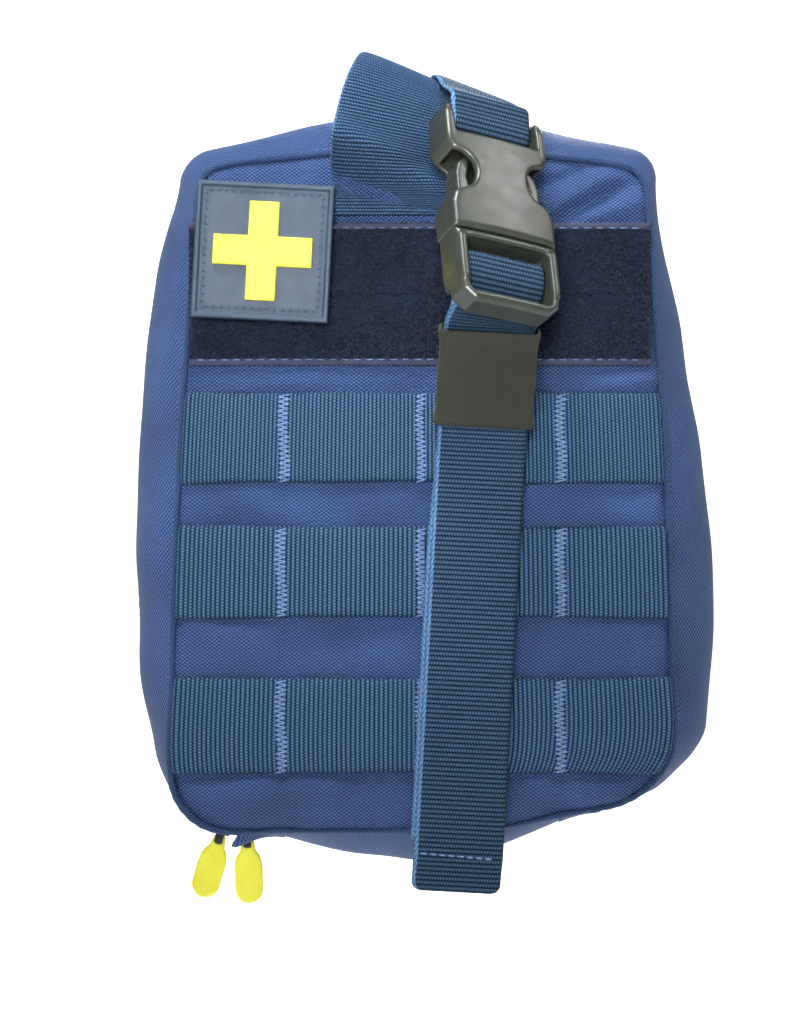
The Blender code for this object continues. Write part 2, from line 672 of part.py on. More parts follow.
def joint_empty(name, place, children):
    """Stand an empty on a joint and hang the moving pieces from it, unmoved."""
    empty = bpy.data.objects.new(name, None)
    empty.location = place * MM
    bpy.context.collection.objects.link(empty)
    bpy.context.view_layer.update()
    for child in children:
        child.parent = empty
        child.matrix_parent_inverse = empty.matrix_world.inverted()
    return empty


def build():
    clear_scene()
    make_platform()
    for side, label in ((-1, "left"), (1, "right")):
        joint_empty(f"mounting_strap_{label}_joint", at(side * MOUNT_X, 0.0, MOUNT_TOP),
                    make_mounting_strap(side, label))
    joint_empty("rip_away_joint", at(0, BACK_HOOK, 0), make_pouch_back())
    cover = make_cover() + [make_handle(), make_top_strap(), make_socket()]
    joint_empty("cover_joint", at(0, ZIP_PLANE, HINGE_AXIS_Z), cover)
    joint_empty("buckle_release_joint", on_buckle(0, 0, SOCKET_LOW), [make_plug(), make_lower_strap()])
    for side, label in ((-1, "left"), (1, "right")):
        pivot = on_buckle(side * PRONG_PIVOT[0], 0, PRONG_PIVOT[1])
        joint_empty(f"prong_{label}_joint", pivot, [make_prong(side, label)])
    joint_empty("keeper_joint", keeper_frame().translation / MM, [make_keeper()])
    joint_empty("patch_joint", at(PATCH_CENTRE[0], FRONT_FACE, PATCH_CENTRE[1]), make_patch())
    for label, (angle, tilt) in SLIDERS.items():
        joint_empty(f"slider_{label}_joint", at(CORNER_CENTRE[0], SLIDER_DEPTH, CORNER_CENTRE[1]),
                    [make_slider(label, angle)])
        joint_empty(f"pull_{label}_joint", corner_point(angle, PIN_RADIUS), [make_pull(label, angle, tilt)])


build()
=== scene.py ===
import math

import bmesh
import bpy
import numpy as np
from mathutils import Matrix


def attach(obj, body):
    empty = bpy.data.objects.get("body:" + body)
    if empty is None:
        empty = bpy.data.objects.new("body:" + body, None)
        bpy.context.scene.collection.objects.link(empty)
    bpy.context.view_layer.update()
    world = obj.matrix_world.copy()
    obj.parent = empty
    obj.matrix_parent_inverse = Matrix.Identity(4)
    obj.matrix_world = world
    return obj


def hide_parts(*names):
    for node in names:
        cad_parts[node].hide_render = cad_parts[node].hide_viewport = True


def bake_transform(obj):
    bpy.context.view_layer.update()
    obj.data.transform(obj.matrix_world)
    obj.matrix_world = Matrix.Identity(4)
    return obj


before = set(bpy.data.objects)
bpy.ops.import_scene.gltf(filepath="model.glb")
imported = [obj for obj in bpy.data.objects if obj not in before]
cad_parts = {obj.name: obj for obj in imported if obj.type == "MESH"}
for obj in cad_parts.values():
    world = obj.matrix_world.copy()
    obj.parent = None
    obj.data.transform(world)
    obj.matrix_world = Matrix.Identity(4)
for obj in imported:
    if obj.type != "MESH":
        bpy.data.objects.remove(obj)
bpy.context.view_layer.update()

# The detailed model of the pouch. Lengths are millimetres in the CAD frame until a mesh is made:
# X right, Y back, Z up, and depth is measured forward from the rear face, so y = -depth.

import openvdb
from mathutils import Matrix, Vector

MM = 0.001
SIDES = ((-1, "left"), (1, "right"))

# Shared with part.py.
FRONT_FACE = 68.0
SEWN_FACE = FRONT_FACE + 0.3
SEAM_OUTLINE = dict(top_half=61.0, low_half=68.5, bow=1.5, top=88.5, crown=4.0, bottom=-93.0,
                    top_radius=8.0, low_radius=16.0)
ZIP_OUTLINE = dict(top_half=66.5, low_half=76.5, bow=8.5, top=95.5, crown=10.5, bottom=-95.5,
                   top_radius=9.0, low_radius=27.0)
WALL_START = 46.0
ZIP_PLANE = 39.0
HINGE_HALF, HINGE_SAG = 45.5, 8.8
ROW_HEIGHTS = {"upper": 14.1, "middle": -22.5, "lower": -64.5}
ROW_HALF_HEIGHT = {"upper": 12.2, "middle": 12.2, "lower": 12.9}
ROW_PITCH = {"upper": 1.09, "middle": 1.27, "lower": 1.27}
TACKS = (-38.6, -0.5, 37.6)
LOOP_HALF = 64.5
LOOP_TOP, LOOP_SEAM, LOOP_BOTTOM = 73.0, 53.2, 34.0
BUCKLE_CENTRE = (18.6, 92.0, 73.0)
BUCKLE_YAW, BUCKLE_PITCH, BUCKLE_ROLL = 26.0, 29.0, 9.5
STRAP_FOOT, STRAP_HEAD = (9.2, -109.3), (16.8, 30.0)
STRAP_WIDTH, STRAP_THICKNESS, STRAP_RIB = 24.2, 1.25, 1.3
LAYER_PITCH = 1.8
STRAP_RISE = [(-96, 71.9), (-52, 71.9), (-8, 71.9), (5, 74.4), (24, 82.95), (42, 91.05)]
PATCH_CENTRE, PATCH_SIZE, PATCH_TILT = (-43.4, 64.7), 37.4, -3.0
MOUNT_X, MOUNT_TOP, MOUNT_BOTTOM = 38.1, 82.0, -86.0

DOME = 3.0
LIGHT_BLUE = (0.16, 0.33, 0.62)
# Folds of the front panel: start, end, width and height.
CREASES = [(32, 75, 50, 86, 2.2, 1.5), (37, 74, 57, 84, 1.7, -1.5), (45, 74, 60, 79, 1.8, 1.3),
           (30, 82, 44, 88, 1.6, -1.0), (-57, 8, -36, -9, 5.0, 0.9), (-64, -34, -42, -46, 5.0, 0.8),
           (40, -4, 64, -8, 4.0, 0.8), (42, 26, 66, 31, 2.4, 1.3), (-66, 25, -30, 30, 2.6, 0.9),
           (-36, -44, -4, -38, 5.0, -0.8), (38, -42, 62, -36, 4.0, 0.9), (-60, -84, -20, -80, 4.5, 0.9),
           (30, -80, 56, -86, 4.5, 0.9), (-58, 76, -30, 84, 2.6, 0.9)]


def at(x, depth, z):
    x, depth, z = np.broadcast_arrays(np.asarray(x, float), depth, z)
    return np.stack([x, -depth, z], -1)


def unit(vectors):
    return vectors / np.maximum(np.linalg.norm(vectors, axis=-1, keepdims=True), 1e-9)


def clamp(values):
    return np.clip(values, 0, 1)


def pairs(u, v):
    """Two arrays joined as pairs, such as weave coordinates in millimetres."""
    return np.stack(np.broadcast_arrays(u, v), -1)


def bell(values, middle, width, power=2):
    """A bell about a value, 1 in its middle; a higher power gives it a flat top."""
    return np.exp(-((values - middle) / width) ** power)


# ---------------------------------------------------------------- finishes


class Finish:
    """A procedural material: every method adds nodes and returns the socket they end in."""

    def __init__(self, name, roughness, **constants):
        self.material = bpy.data.materials.new(name)
        self.material.use_nodes = True
        self.tree = self.material.node_tree
        self.shader = self.tree.nodes["Principled BSDF"]
        self.feed(self.shader.inputs["Roughness"], roughness)
        for socket, value in constants.items():
            self.feed(self.shader.inputs[socket.replace("_", " ")], value)

    def feed(self, socket, value):
        if isinstance(value, bpy.types.NodeSocket):
            self.tree.links.new(value, socket)
        elif hasattr(value, "__len__") and socket.type == "RGBA":
            socket.default_value = (*value[:3], 1.0)
        else:
            socket.default_value = value

    def node(self, kind, values=(), **settings):
        node = self.tree.nodes.new("ShaderNode" + kind)
        for key, value in settings.items():
            setattr(node, key, value)
        for key, value in dict(values).items():
            self.feed(node.inputs[key], value)
        return node

    def place(self):
        return self.node("TexCoord").outputs["Object"]

    def uv(self):
        split = self.node("SeparateXYZ", {0: self.node("TexCoord").outputs["UV"]})
        return split.outputs[0], split.outputs[1]

    def maths(self, operation, first, second=0.0):
        return self.node("Math", {0: first, 1: second}, operation=operation).outputs[0]

    def wave(self, value, pitch, shift=0.0):
        """A sine of that pitch, from -1 to 1."""
        turned = self.maths("MULTIPLY", value, 2 * math.pi / pitch)
        return self.maths("SINE", self.maths("ADD", turned, shift))

    def noise(self, scale, detail=3.0, stretch=None):
        place = self.place()
        if stretch:
            place = self.node("Mapping", {0: place, "Scale": stretch}).outputs[0]
        return self.node("TexNoise", {"Vector": place, "Scale": scale, "Detail": detail}).outputs[0]

    def spread(self, value, low, high, to_low=0.0, to_high=1.0):
        values = {0: value, 1: low, 2: high, 3: to_low, 4: to_high}
        return self.node("MapRange", values).outputs[0]

    def mix(self, factor, first, second, blend="MIX"):
        node = self.node("Mix", {0: factor, 6: first, 7: second}, data_type="RGBA", blend_type=blend)
        return node.outputs[2]

    def bump(self, height, distance, strength=1.0, below=None):
        values = {"Height": height, "Distance": distance * MM, "Strength": strength}
        if below is not None:
            values["Normal"] = below
        return self.node("Bump", values).outputs[0]

    def done(self, colour, normal=None, roughness=None):
        self.feed(self.shader.inputs["Base Color"], colour)
        if normal is not None:
            self.feed(self.shader.inputs["Normal"], normal)
        if roughness is not None:
            self.feed(self.shader.inputs["Roughness"], roughness)
        return self.material


def woven(name, dark, light, warp=0.68, weft=0.5):
    """Coarse plain-woven nylon: staggered yarn bumps, painted shade in the pits between the yarns, cloudy
    shade and a soft sheen.
    """
    look = Finish(name, 0.62, Sheen_Weight=0.1, Sheen_Roughness=0.35, Sheen_Tint=(0.42, 0.62, 1.0),
                  Specular_IOR_Level=0.5, Specular_Tint=(0.42, 0.66, 1.0))
    u, v = look.uv()
    knit = look.maths("MULTIPLY", look.wave(u, warp * 2), look.wave(v, weft * 2))
    fibre = look.noise(2600.0, 2.0)
    cloud = look.noise(38.0, 3.0)
    crest = look.spread(look.maths("ADD", knit, look.maths("MULTIPLY", fibre, 0.6)), -0.4, 1.2)
    # Painted shade: the colour runs from dark in the pits between the yarns to light on their tops.
    colour = look.mix(crest, dark, light)
    shade = look.spread(cloud, 0.3, 0.7, 0.78, 1.16)
    grey = look.node("CombineColor", {0: shade, 1: shade, 2: shade}).outputs[0]
    colour = look.mix(1.0, colour, grey, "MULTIPLY")
    normal = look.bump(look.noise(210.0, 2.0), 0.25, 0.35)
    normal = look.bump(crest, 0.3, 1.0, normal)
    return look.done(colour, normal, look.spread(crest, 0, 1, 0.74, 0.5))


def ribbed(name, dark, light, selvedge=None, yarn=0.8, edge=10.9):
    """Heavy webbing, with painted shade in the valleys between its ribs and beads. U counts the ribs and V
    is millimetres across.
    """
    look = Finish(name, 0.6, Sheen_Weight=0.06, Sheen_Roughness=0.4, Sheen_Tint=(0.4, 0.68, 1.0),
                  Specular_IOR_Level=0.4, Specular_Tint=(0.34, 0.64, 1.0))
    u, v = look.uv()
    rib = look.maths("ABSOLUTE", look.wave(u, 2.0))
    turn = look.maths("MULTIPLY", look.maths("FLOOR", u), math.pi)
    beads = look.wave(look.maths("ADD", v, look.maths("MULTIPLY", turn, yarn / 2 / math.pi)), yarn)
    fibre = look.noise(2400.0, 2.0)
    crest = look.maths("MULTIPLY", look.maths("POWER", rib, 1.3), look.spread(beads, -1, 1, 0.42, 1.0))
    # Painted shade: dark in the valleys between ribs and beads, light on their crests.
    lit = look.spread(look.maths("ADD", crest, look.maths("MULTIPLY", fibre, 0.4)), 0.28, 1.1)
    colour = look.mix(lit, dark, light)
    if selvedge is not None:
        side = look.spread(v, -edge, -edge - 0.35, 0.0, 0.85)
        cross = look.wave(look.maths("ADD", look.maths("MULTIPLY", u, 0.62), v), 0.9)
        flecks = look.maths("MULTIPLY", side, look.spread(cross, -1, 1, 0.35, 1.0))
        colour = look.mix(flecks, colour, selvedge)
    normal = look.bump(crest, 0.26, 1.0)
    return look.done(colour, normal, look.spread(crest, 0, 1, 0.8, 0.5))


def knitted(name, dark, light, pitch=0.55, across=True, **constants):
    """Elastic, tapes and other fine-ribbed narrow fabric, with painted shade in the valleys between its
    ribs; V runs across its ribs.
    """
    look = Finish(name, 0.78, **constants)
    u, v = look.uv()
    rib = look.maths("ABSOLUTE", look.wave(u if across else v, pitch * 2))
    cross = look.wave(v if across else u, 0.7)
    crest = look.maths("MULTIPLY", rib, look.spread(cross, -1, 1, 0.7, 1.0))
    fibre = look.maths("MULTIPLY", look.noise(1800.0, 2.0), 0.8)
    # Painted shade: dark in the rib valleys, light on the crests; a random darker mottle goes over it.
    lit = look.spread(look.maths("ADD", crest, fibre), 0.3, 1.5)
    shade = look.mix(look.spread(look.noise(60.0), 0.35, 0.65, 0.0, 0.35), look.mix(lit, dark, light), dark)
    return look.done(shade, look.bump(crest, 0.12, 0.8))


def fuzzy(name, dark, light):
    look = Finish(name, 0.95, Sheen_Weight=0.2, Sheen_Roughness=0.5, Sheen_Tint=(0.5, 0.62, 1.0),
                  Specular_IOR_Level=0.2)
    clump = look.maths("ADD", look.noise(950.0, 4.0), look.noise(110.0, 2.0))
    colour = look.mix(look.spread(clump, 0.8, 1.3), dark, light)
    return look.done(colour, look.bump(look.noise(1500.0, 4.0), 0.4, 0.9))


def moulded(name, dark, light, roughness, grain=1300.0, worn=0.25, **constants):
    """Moulded plastic or rubber: fine grain, faint mottling, and lighter where edges are rubbed."""
    look = Finish(name, roughness, **constants)
    mottle = look.spread(look.noise(170.0, 4.0), 0.3, 0.7)
    edge = look.spread(look.node("NewGeometry").outputs["Pointiness"], 0.5, 0.6, 0.0, worn)
    scuff = look.maths("MULTIPLY", edge, look.spread(look.noise(700.0, 3.0), 0.35, 0.65))
    colour = look.mix(mottle, dark, light)
    colour = look.mix(scuff, colour, tuple(min(1.0, c * 1.9 + 0.03) for c in light))
    normal = look.bump(look.noise(grain, 3.0), 0.05, 0.45)
    normal = look.bump(look.noise(55.0, 1.0), 0.06, 0.2, normal)
    rough = look.spread(look.noise(240.0, 4.0), 0.3, 0.7, roughness - 0.03, roughness + 0.06)
    return look.done(colour, normal, rough)


def yarn(name, dark, light):
    look = Finish(name, 0.6, Sheen_Weight=0.1, Sheen_Roughness=0.4, Specular_IOR_Level=0.3)
    twist = look.spread(look.noise(3200.0, 2.0, (1.0, 1.0, 0.4)), 0.35, 0.65)
    return look.done(look.mix(twist, dark, light), look.bump(twist, 0.05, 0.8))


NAVY = woven("navy_woven", (0.004, 0.012, 0.046), (0.074, 0.132, 0.325))
NAVY_EDGE = woven("navy_binding", (0.004, 0.012, 0.042), (0.058, 0.104, 0.245), 0.6, 0.44)
WEBBING = ribbed("navy_webbing", (0.001, 0.005, 0.014), (0.066, 0.142, 0.258))
STRAP = ribbed("navy_strap", (0.001, 0.004, 0.010), (0.050, 0.100, 0.172), LIGHT_BLUE)
HANDLE = ribbed("navy_handle", (0.002, 0.005, 0.014), (0.068, 0.136, 0.270), LIGHT_BLUE, 0.8, 24.4)
# The pile ground is coloured darker than its loops: painted shade under the pile.
PILE_BASE = fuzzy("pile_ground", (0.002, 0.005, 0.015), (0.008, 0.016, 0.042))
PILE = yarn("pile_loops", (0.004, 0.009, 0.026), (0.016, 0.031, 0.078))
PILE_EDGE = knitted("pile_selvedge", (0.014, 0.020, 0.048), (0.044, 0.054, 0.108), 0.5)
HOOKS = yarn("hook_stems", (0.010, 0.010, 0.010), (0.035, 0.036, 0.036))
HOOK_BASE = knitted("hook_ground", (0.008, 0.008, 0.009), (0.030, 0.031, 0.033), 0.6)
ELASTIC = knitted("black_elastic", (0.004, 0.005, 0.003), (0.030, 0.033, 0.021), 0.5,
                  Sheen_Weight=0.1, Sheen_Tint=(0.8, 0.75, 0.6))
INNER_ELASTIC = knitted("inner_elastic", (0.010, 0.010, 0.011), (0.040, 0.041, 0.044), 0.8)
ZIP_TAPE = knitted("zip_tape_weave", (0.009, 0.011, 0.018), (0.034, 0.042, 0.062), 0.45)
COIL = moulded("zip_coil_nylon", (0.012, 0.012, 0.013), (0.030, 0.030, 0.033), 0.4)
PLASTIC = moulded("olive_black_plastic", (0.026, 0.030, 0.023), (0.036, 0.041, 0.032), 0.36,
                  Specular_IOR_Level=0.7, Coat_Weight=0.15, Coat_Roughness=0.3)
STEEL = moulded("blackened_steel", (0.020, 0.020, 0.021), (0.045, 0.045, 0.048), 0.36, Metallic=0.8)
PVC = moulded("slate_pvc", (0.020, 0.040, 0.074), (0.028, 0.054, 0.094), 0.5, 900.0, 0.35,
              Specular_IOR_Level=0.35)
CROSS = moulded("yellow_pvc", (0.70, 0.68, 0.050), (0.80, 0.78, 0.080), 0.5, 900.0, 0.2,
                Specular_IOR_Level=0.3)
PULL = moulded("yellow_rubber", (0.90, 0.84, 0.030), (0.98, 0.94, 0.070), 0.42, 1000.0, 0.2,
               Coat_Weight=0.15, Coat_Roughness=0.3)
THREAD = yarn("blue_thread", (0.085, 0.140, 0.300), (0.200, 0.310, 0.560))
DARK_THREAD = yarn("dark_thread", (0.030, 0.050, 0.095), (0.075, 0.115, 0.205))
NET = yarn("net_yarn", (0.012, 0.012, 0.013), (0.050, 0.050, 0.053))
INNER_BINDING = ribbed("net_binding_tape", (0.010, 0.010, 0.012), (0.048, 0.050, 0.056))


# ---------------------------------------------------------------- meshes


def add_mesh(name, points, faces, finish, on, uv=None):
    """A piece from millimetre points. on is its body, or that and the CAD nodes it stands for."""
    mesh = bpy.data.meshes.new(name)
    mesh.from_pydata((np.asarray(points) * MM).tolist(), [], np.asarray(faces).tolist())
    if uv is not None:
        layer = mesh.uv_layers.new(name="weave")
        layer.data.foreach_set("uv", np.asarray(uv, np.float32).ravel())
    mesh.shade_smooth()
    mesh.materials.append(finish)
    obj = bpy.data.objects.new(name, mesh)
    bpy.context.collection.objects.link(obj)
    if on is None:
        return obj
    body, *nodes = (on,) if isinstance(on, str) else on
    if body:
        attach(obj, body)
    if nodes:
        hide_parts(*nodes)
    return obj


def turned_over(face, *arrays):
    """Grids whose sheets face the other way where face is below 0."""
    return tuple(array[:, ::-1] for array in arrays) if face < 0 else arrays


def grid_faces(rows, columns, around):
    i, j = np.meshgrid(np.arange(rows - 1), np.arange(columns if around else columns - 1), indexing="ij")
    i, j = i.ravel(), j.ravel()
    corners = [(i, j), (i, j + 1), (i + 1, j + 1), (i + 1, j)]
    faces = np.stack([a * columns + b % columns for a, b in corners], -1)
    return faces, corners


def thicken(obj, thickness):
    shell = obj.modifiers.new("thickness", "SOLIDIFY")
    shell.thickness, shell.offset = thickness * MM, -1.0


def edit(obj, change):
    """Run a change on a bmesh of the piece's mesh and keep the result."""
    work = bmesh.new()
    work.from_mesh(obj.data)
    change(work)
    work.to_mesh(obj.data)
    work.free()


def grid(name, points, uv, finish, on, around=False, thickness=0.0):
    """A sheet through rows of points; thickness, if given, grows to the side its faces turn away from."""
    rows, columns = points.shape[:2]
    faces, corners = grid_faces(rows, columns, around)
    wide = uv.shape[1]
    corner_uv = np.stack([uv[a, b % wide] for a, b in corners], 1)
    obj = add_mesh(name, points.reshape(-1, 3), faces, finish, on, corner_uv.reshape(-1, 2))
    if thickness:
        thicken(obj, thickness)
    return obj


def thread_mesh(lines, radius, sides=4):
    """Round threads: lines holds a point list for each, and radius one value for each point."""
    lines = np.asarray(lines, float)
    radius = np.broadcast_to(radius, lines.shape[:2])[..., None, None]
    tangent = unit(np.gradient(lines, axis=1))
    side = unit(np.cross(tangent, np.array([0.31, -0.77, 0.55])))
    up = np.cross(side, tangent)
    angle = np.linspace(0, 2 * math.pi, sides, endpoint=False)[:, None]
    ring = lines[:, :, None] + radius * (np.cos(angle) * side[:, :, None] + np.sin(angle) * up[:, :, None])
    count, steps = lines.shape[:2]
    faces, _ = grid_faces(steps, sides, True)
    faces = faces[None] + (np.arange(count) * steps * sides)[:, None, None]
    return ring.reshape(-1, 3), faces.reshape(-1, 4)


def threads(name, lines, radius, finish, on, sides=4):
    points, faces = thread_mesh(lines, radius, sides)
    return add_mesh(name, points, faces, finish, on, None)


def smooth_path(points, step=None, count=None):
    """A smooth curve through the points, evenly spaced. Values after the first three ride along."""
    p = np.asarray(points, float)
    h = np.linalg.norm(np.diff(p[:, :3], axis=0), axis=1)
    slope = np.diff(p, axis=0) / h[:, None]
    lean = np.empty_like(p)
    lean[1:-1] = (h[1:, None] * slope[:-1] + h[:-1, None] * slope[1:]) / (h[1:] + h[:-1])[:, None]
    lean[0], lean[-1] = slope[0], slope[-1]
    t = np.linspace(0, 1, 24, endpoint=False)[None, :, None]
    a, b = p[:-1, None], p[1:, None]
    ma, mb = lean[:-1, None] * h[:, None, None], lean[1:, None] * h[:, None, None]
    fine = ((2 * t**3 - 3 * t**2 + 1) * a + (t**3 - 2 * t**2 + t) * ma
            + (3 * t**2 - 2 * t**3) * b + (t**3 - t**2) * mb)
    fine = np.vstack([fine.reshape(-1, p.shape[1]), p[-1:]])
    run = np.concatenate([[0], np.cumsum(np.linalg.norm(np.diff(fine[:, :3], axis=0), axis=1))])
    even = np.linspace(0, run[-1], count or max(2, round(run[-1] / step) + 1))
    return np.stack([np.interp(even, run, fine[:, k]) for k in range(p.shape[1])], 1)


def lengths(path):
    return np.concatenate([[0], np.cumsum(np.linalg.norm(np.diff(path, axis=0), axis=1))])


def surface_normals(points, toward):
    """Normals of a grid of points, turned to the side of the direction given."""
    normal = unit(np.cross(np.gradient(points, axis=0), np.gradient(points, axis=1)))
    if (normal @ np.asarray(toward, float)).mean() < 0:
        normal = -normal
    return normal


def ribbon(name, middle, half, thickness, pitch, finish, on, toward, ribs=0.16):
    """Webbing with thickness, rounded selvedges and raised ribs, about a grid of middle points."""
    normal = surface_normals(middle, toward)
    run = lengths(middle[:, middle.shape[1] // 2])
    count = run / pitch
    across = np.linspace(-1, 1, middle.shape[1])
    edge = np.sqrt(clamp(1 - np.abs(across) ** 10))
    ends = np.sqrt(np.clip(np.minimum(run, run[-1] - run) / 0.6, 0.02, 1))
    rise = thickness / 2 - ribs / 2 + ribs * np.abs(np.sin(math.pi * count))
    rise = rise[:, None] * edge * ends[:, None]
    top = middle + normal * rise[..., None]
    under = (middle - normal * rise[..., None])[:, -2:0:-1]
    points = np.concatenate([top, under], 1)
    v = np.concatenate([across, across[-2:0:-1]]) * half
    uv = pairs(count[:, None], v[None])
    return grid(name, points, uv, finish, on, around=True)


def strap_rows(path, across, width, columns=25):
    """Rows of points across a strap; width may be one value or one for each point of the path."""
    share = np.linspace(-0.5, 0.5, columns)[None, :, None]
    return path[:, None] + across[:, None] * share * np.reshape(width, (-1, 1, 1))


def ripples(seed, count, shortest, longest):
    """A gentle seeded field of crossing waves over two coordinates, about -1 to 1."""
    rng = np.random.default_rng(seed)
    angle = rng.uniform(0, math.pi, count)
    wave = 2 * math.pi / rng.uniform(shortest, longest, count)
    shift = rng.uniform(0, 2 * math.pi, count)

    def field(a, b):
        total = 0.0
        for k in range(count):
            total = total + np.sin(wave[k] * (a * np.cos(angle[k]) + b * np.sin(angle[k])) + shift[k])
        return total / math.sqrt(count)
    return field


def stitches(name, path, pitch, body, finish, toward=(0, -1, 0), long=0.62, radius=0.22, rise=0.3):
    """A run of thread: each stitch leaves the cloth, arches over it and goes back in."""
    path = smooth_path(path, 0.25)
    run = lengths(path)
    starts = np.arange(pitch * 0.4, run[-1] - pitch * long, pitch)
    share = np.linspace(0, 1, 6)
    spots = starts[:, None] + share * pitch * long
    lines = np.stack([np.interp(spots, run, path[:, k]) for k in range(3)], -1)
    lift = rise * (np.sin(math.pi * share) ** 0.6 * 1.3 - 0.5)
    lines = lines + lift[None, :, None] * unit(np.asarray(toward, float))
    thin = radius * np.array([0.35, 0.9, 1, 1, 0.9, 0.35])
    return threads(name, lines, thin, finish, body)


def outline_arc(centre, radius, start, end, steps):
    angle = np.radians(np.linspace(start, end, steps + 1))
    return [(centre[0] + radius * math.cos(a), centre[1] + radius * math.sin(a)) for a in angle]


def left_half(shape):
    low = (-shape["low_half"] + shape["low_radius"], shape["bottom"] + shape["low_radius"])
    top = (-shape["top_half"] + shape["top_radius"], shape["top"] - shape["top_radius"])
    points = [(-WALL_START, shape["bottom"])] + outline_arc(low, shape["low_radius"], 262, 180, 5)
    for step in range(1, 6):
        share = step / 6
        half = shape["low_half"] + (shape["top_half"] - shape["low_half"]) * share
        half += shape["bow"] * 4.0 * share * (1.0 - share)
        points.append((-half, low[1] + (top[1] - low[1]) * share))
    points += outline_arc(top, shape["top_radius"], 180, 95, 5)
    for share in (0.3, 0.65):
        points.append((top[0] * (1.0 - share), shape["top"] + shape["crown"] * (1.0 - (1.0 - share) ** 2)))
    return points + [(0.0, shape["top"] + shape["crown"])]


def drawn_up(x, z):
    """A height, raised towards the lower right corner."""
    across = clamp((x - 12.0) / 56.0) ** 1.3
    down = clamp((-45.0 - z) / 48.0)
    return z + 11.5 * across * down**2 * (3 - 2 * down)


def wall_outline(shape, count=520, grow=0.0):
    """The outline from the hinge's left end, over the top, to its right end, as (x, z) rows."""
    left = left_half(shape)
    points = np.array(left + [(-x, float(drawn_up(-x, z))) for x, z in reversed(left[:-1])])
    middle = (shape["top"] + shape["bottom"]) / 2.0
    points = points + grow * unit(points - (0, middle))
    return smooth_path(points, count=count)


def slumped(line):
    """The zip line as the soft pouch hangs: leaning left at the top and bagging out at the lower right."""
    heights = [-95, -84, -72, -59, -48, -37, -22, 0, 12, 22, 32, 43, 54, 65, 76, 88, 98]
    right = [4.5, 6.0, 4.6, 3.8, 3.0, 2.3, 1.4, 0.0, -1.0, -2.0, -2.7, -3.2, -3.4, -3.2, -2.6, -1.4, 0]
    left = [0, 0.6, 0.3, 0, 0, 0, 0, 0, 0, -0.3, -0.9, -1.5, -1.8, -2.0, -2.2, -1.4, 0]
    x, z = line[:, 0], line[:, 1]
    shift = np.where(x > 0, np.interp(z, heights, right), np.interp(z, heights, left))
    shift = shift * clamp((np.abs(x) - 46.0) / 14.0)
    return np.stack([x + shift, z], -1)


SEAM = wall_outline(SEAM_OUTLINE)
ZIP = slumped(wall_outline(ZIP_OUTLINE))


def seam_reach(share, z):
    """How far the seam outline reaches at a height, on the side a share from -1 to 1 lies on."""
    middle = len(SEAM) // 2
    reach = []
    for half in (SEAM[:middle], SEAM[middle:]):
        order = np.argsort(half[:, 1])
        reach.append(np.interp(z, half[order, 1], np.abs(half[order, 0])))
    return np.where(share < 0, reach[0], reach[1])


def outward(line):
    """Normals in the plane of an outline, pointing away from its middle."""
    along = unit(np.gradient(line, axis=0))
    return np.stack([-along[:, 1], along[:, 0]], -1)


# ---------------------------------------------------------------- front shape

CLOTH = ripples(11, 9, 26, 60)
FINE_CLOTH = ripples(5, 12, 7, 18)


def dome(x, z):
    return DOME * clamp(1 - (x / 68.0) ** 2) * clamp(1 - ((z + 2.0) / 92.0) ** 2)


def creases(x, z):
    total = np.zeros(np.broadcast(x, z).shape)
    for x0, z0, x1, z1, width, height in CREASES:
        run = math.hypot(x1 - x0, z1 - z0)
        along = ((x - x0) * (x1 - x0) + (z - z0) * (z1 - z0)) / run**2
        off = ((x - x0) * (z1 - z0) - (z - z0) * (x1 - x0)) / run
        fade = np.exp(-(np.clip(np.abs(along - 0.5) - 0.4, 0, None) / 0.16) ** 2)
        total = total + height * bell(off, 0, width) * fade
    return total


def front_depth(x, z):
    """The cloth of the front panel: domed, held back where the webbing is tacked, and creased."""
    tack = sum(bell(x, middle, 4.5) for middle in TACKS) * clamp((34.0 - z) / 8.0)
    free = np.ones(np.broadcast(x, z).shape)
    for height in ROW_HEIGHTS.values():
        free = free * (1 - bell(z, height, 13.5, 6))
    free = free * (1 - bell(z, 53.5, 20.5, 6))
    puff = 0.9 + 1.4 * creases(x, z) + 0.35 * CLOTH(x, z) + 0.1 * FINE_CLOTH(x, z) - 0.8 * tack
    return FRONT_FACE - 0.3 + dome(x, z) + np.clip(free * puff, -0.9, 3.2)


# ---------------------------------------------------------------- camera, light and ground


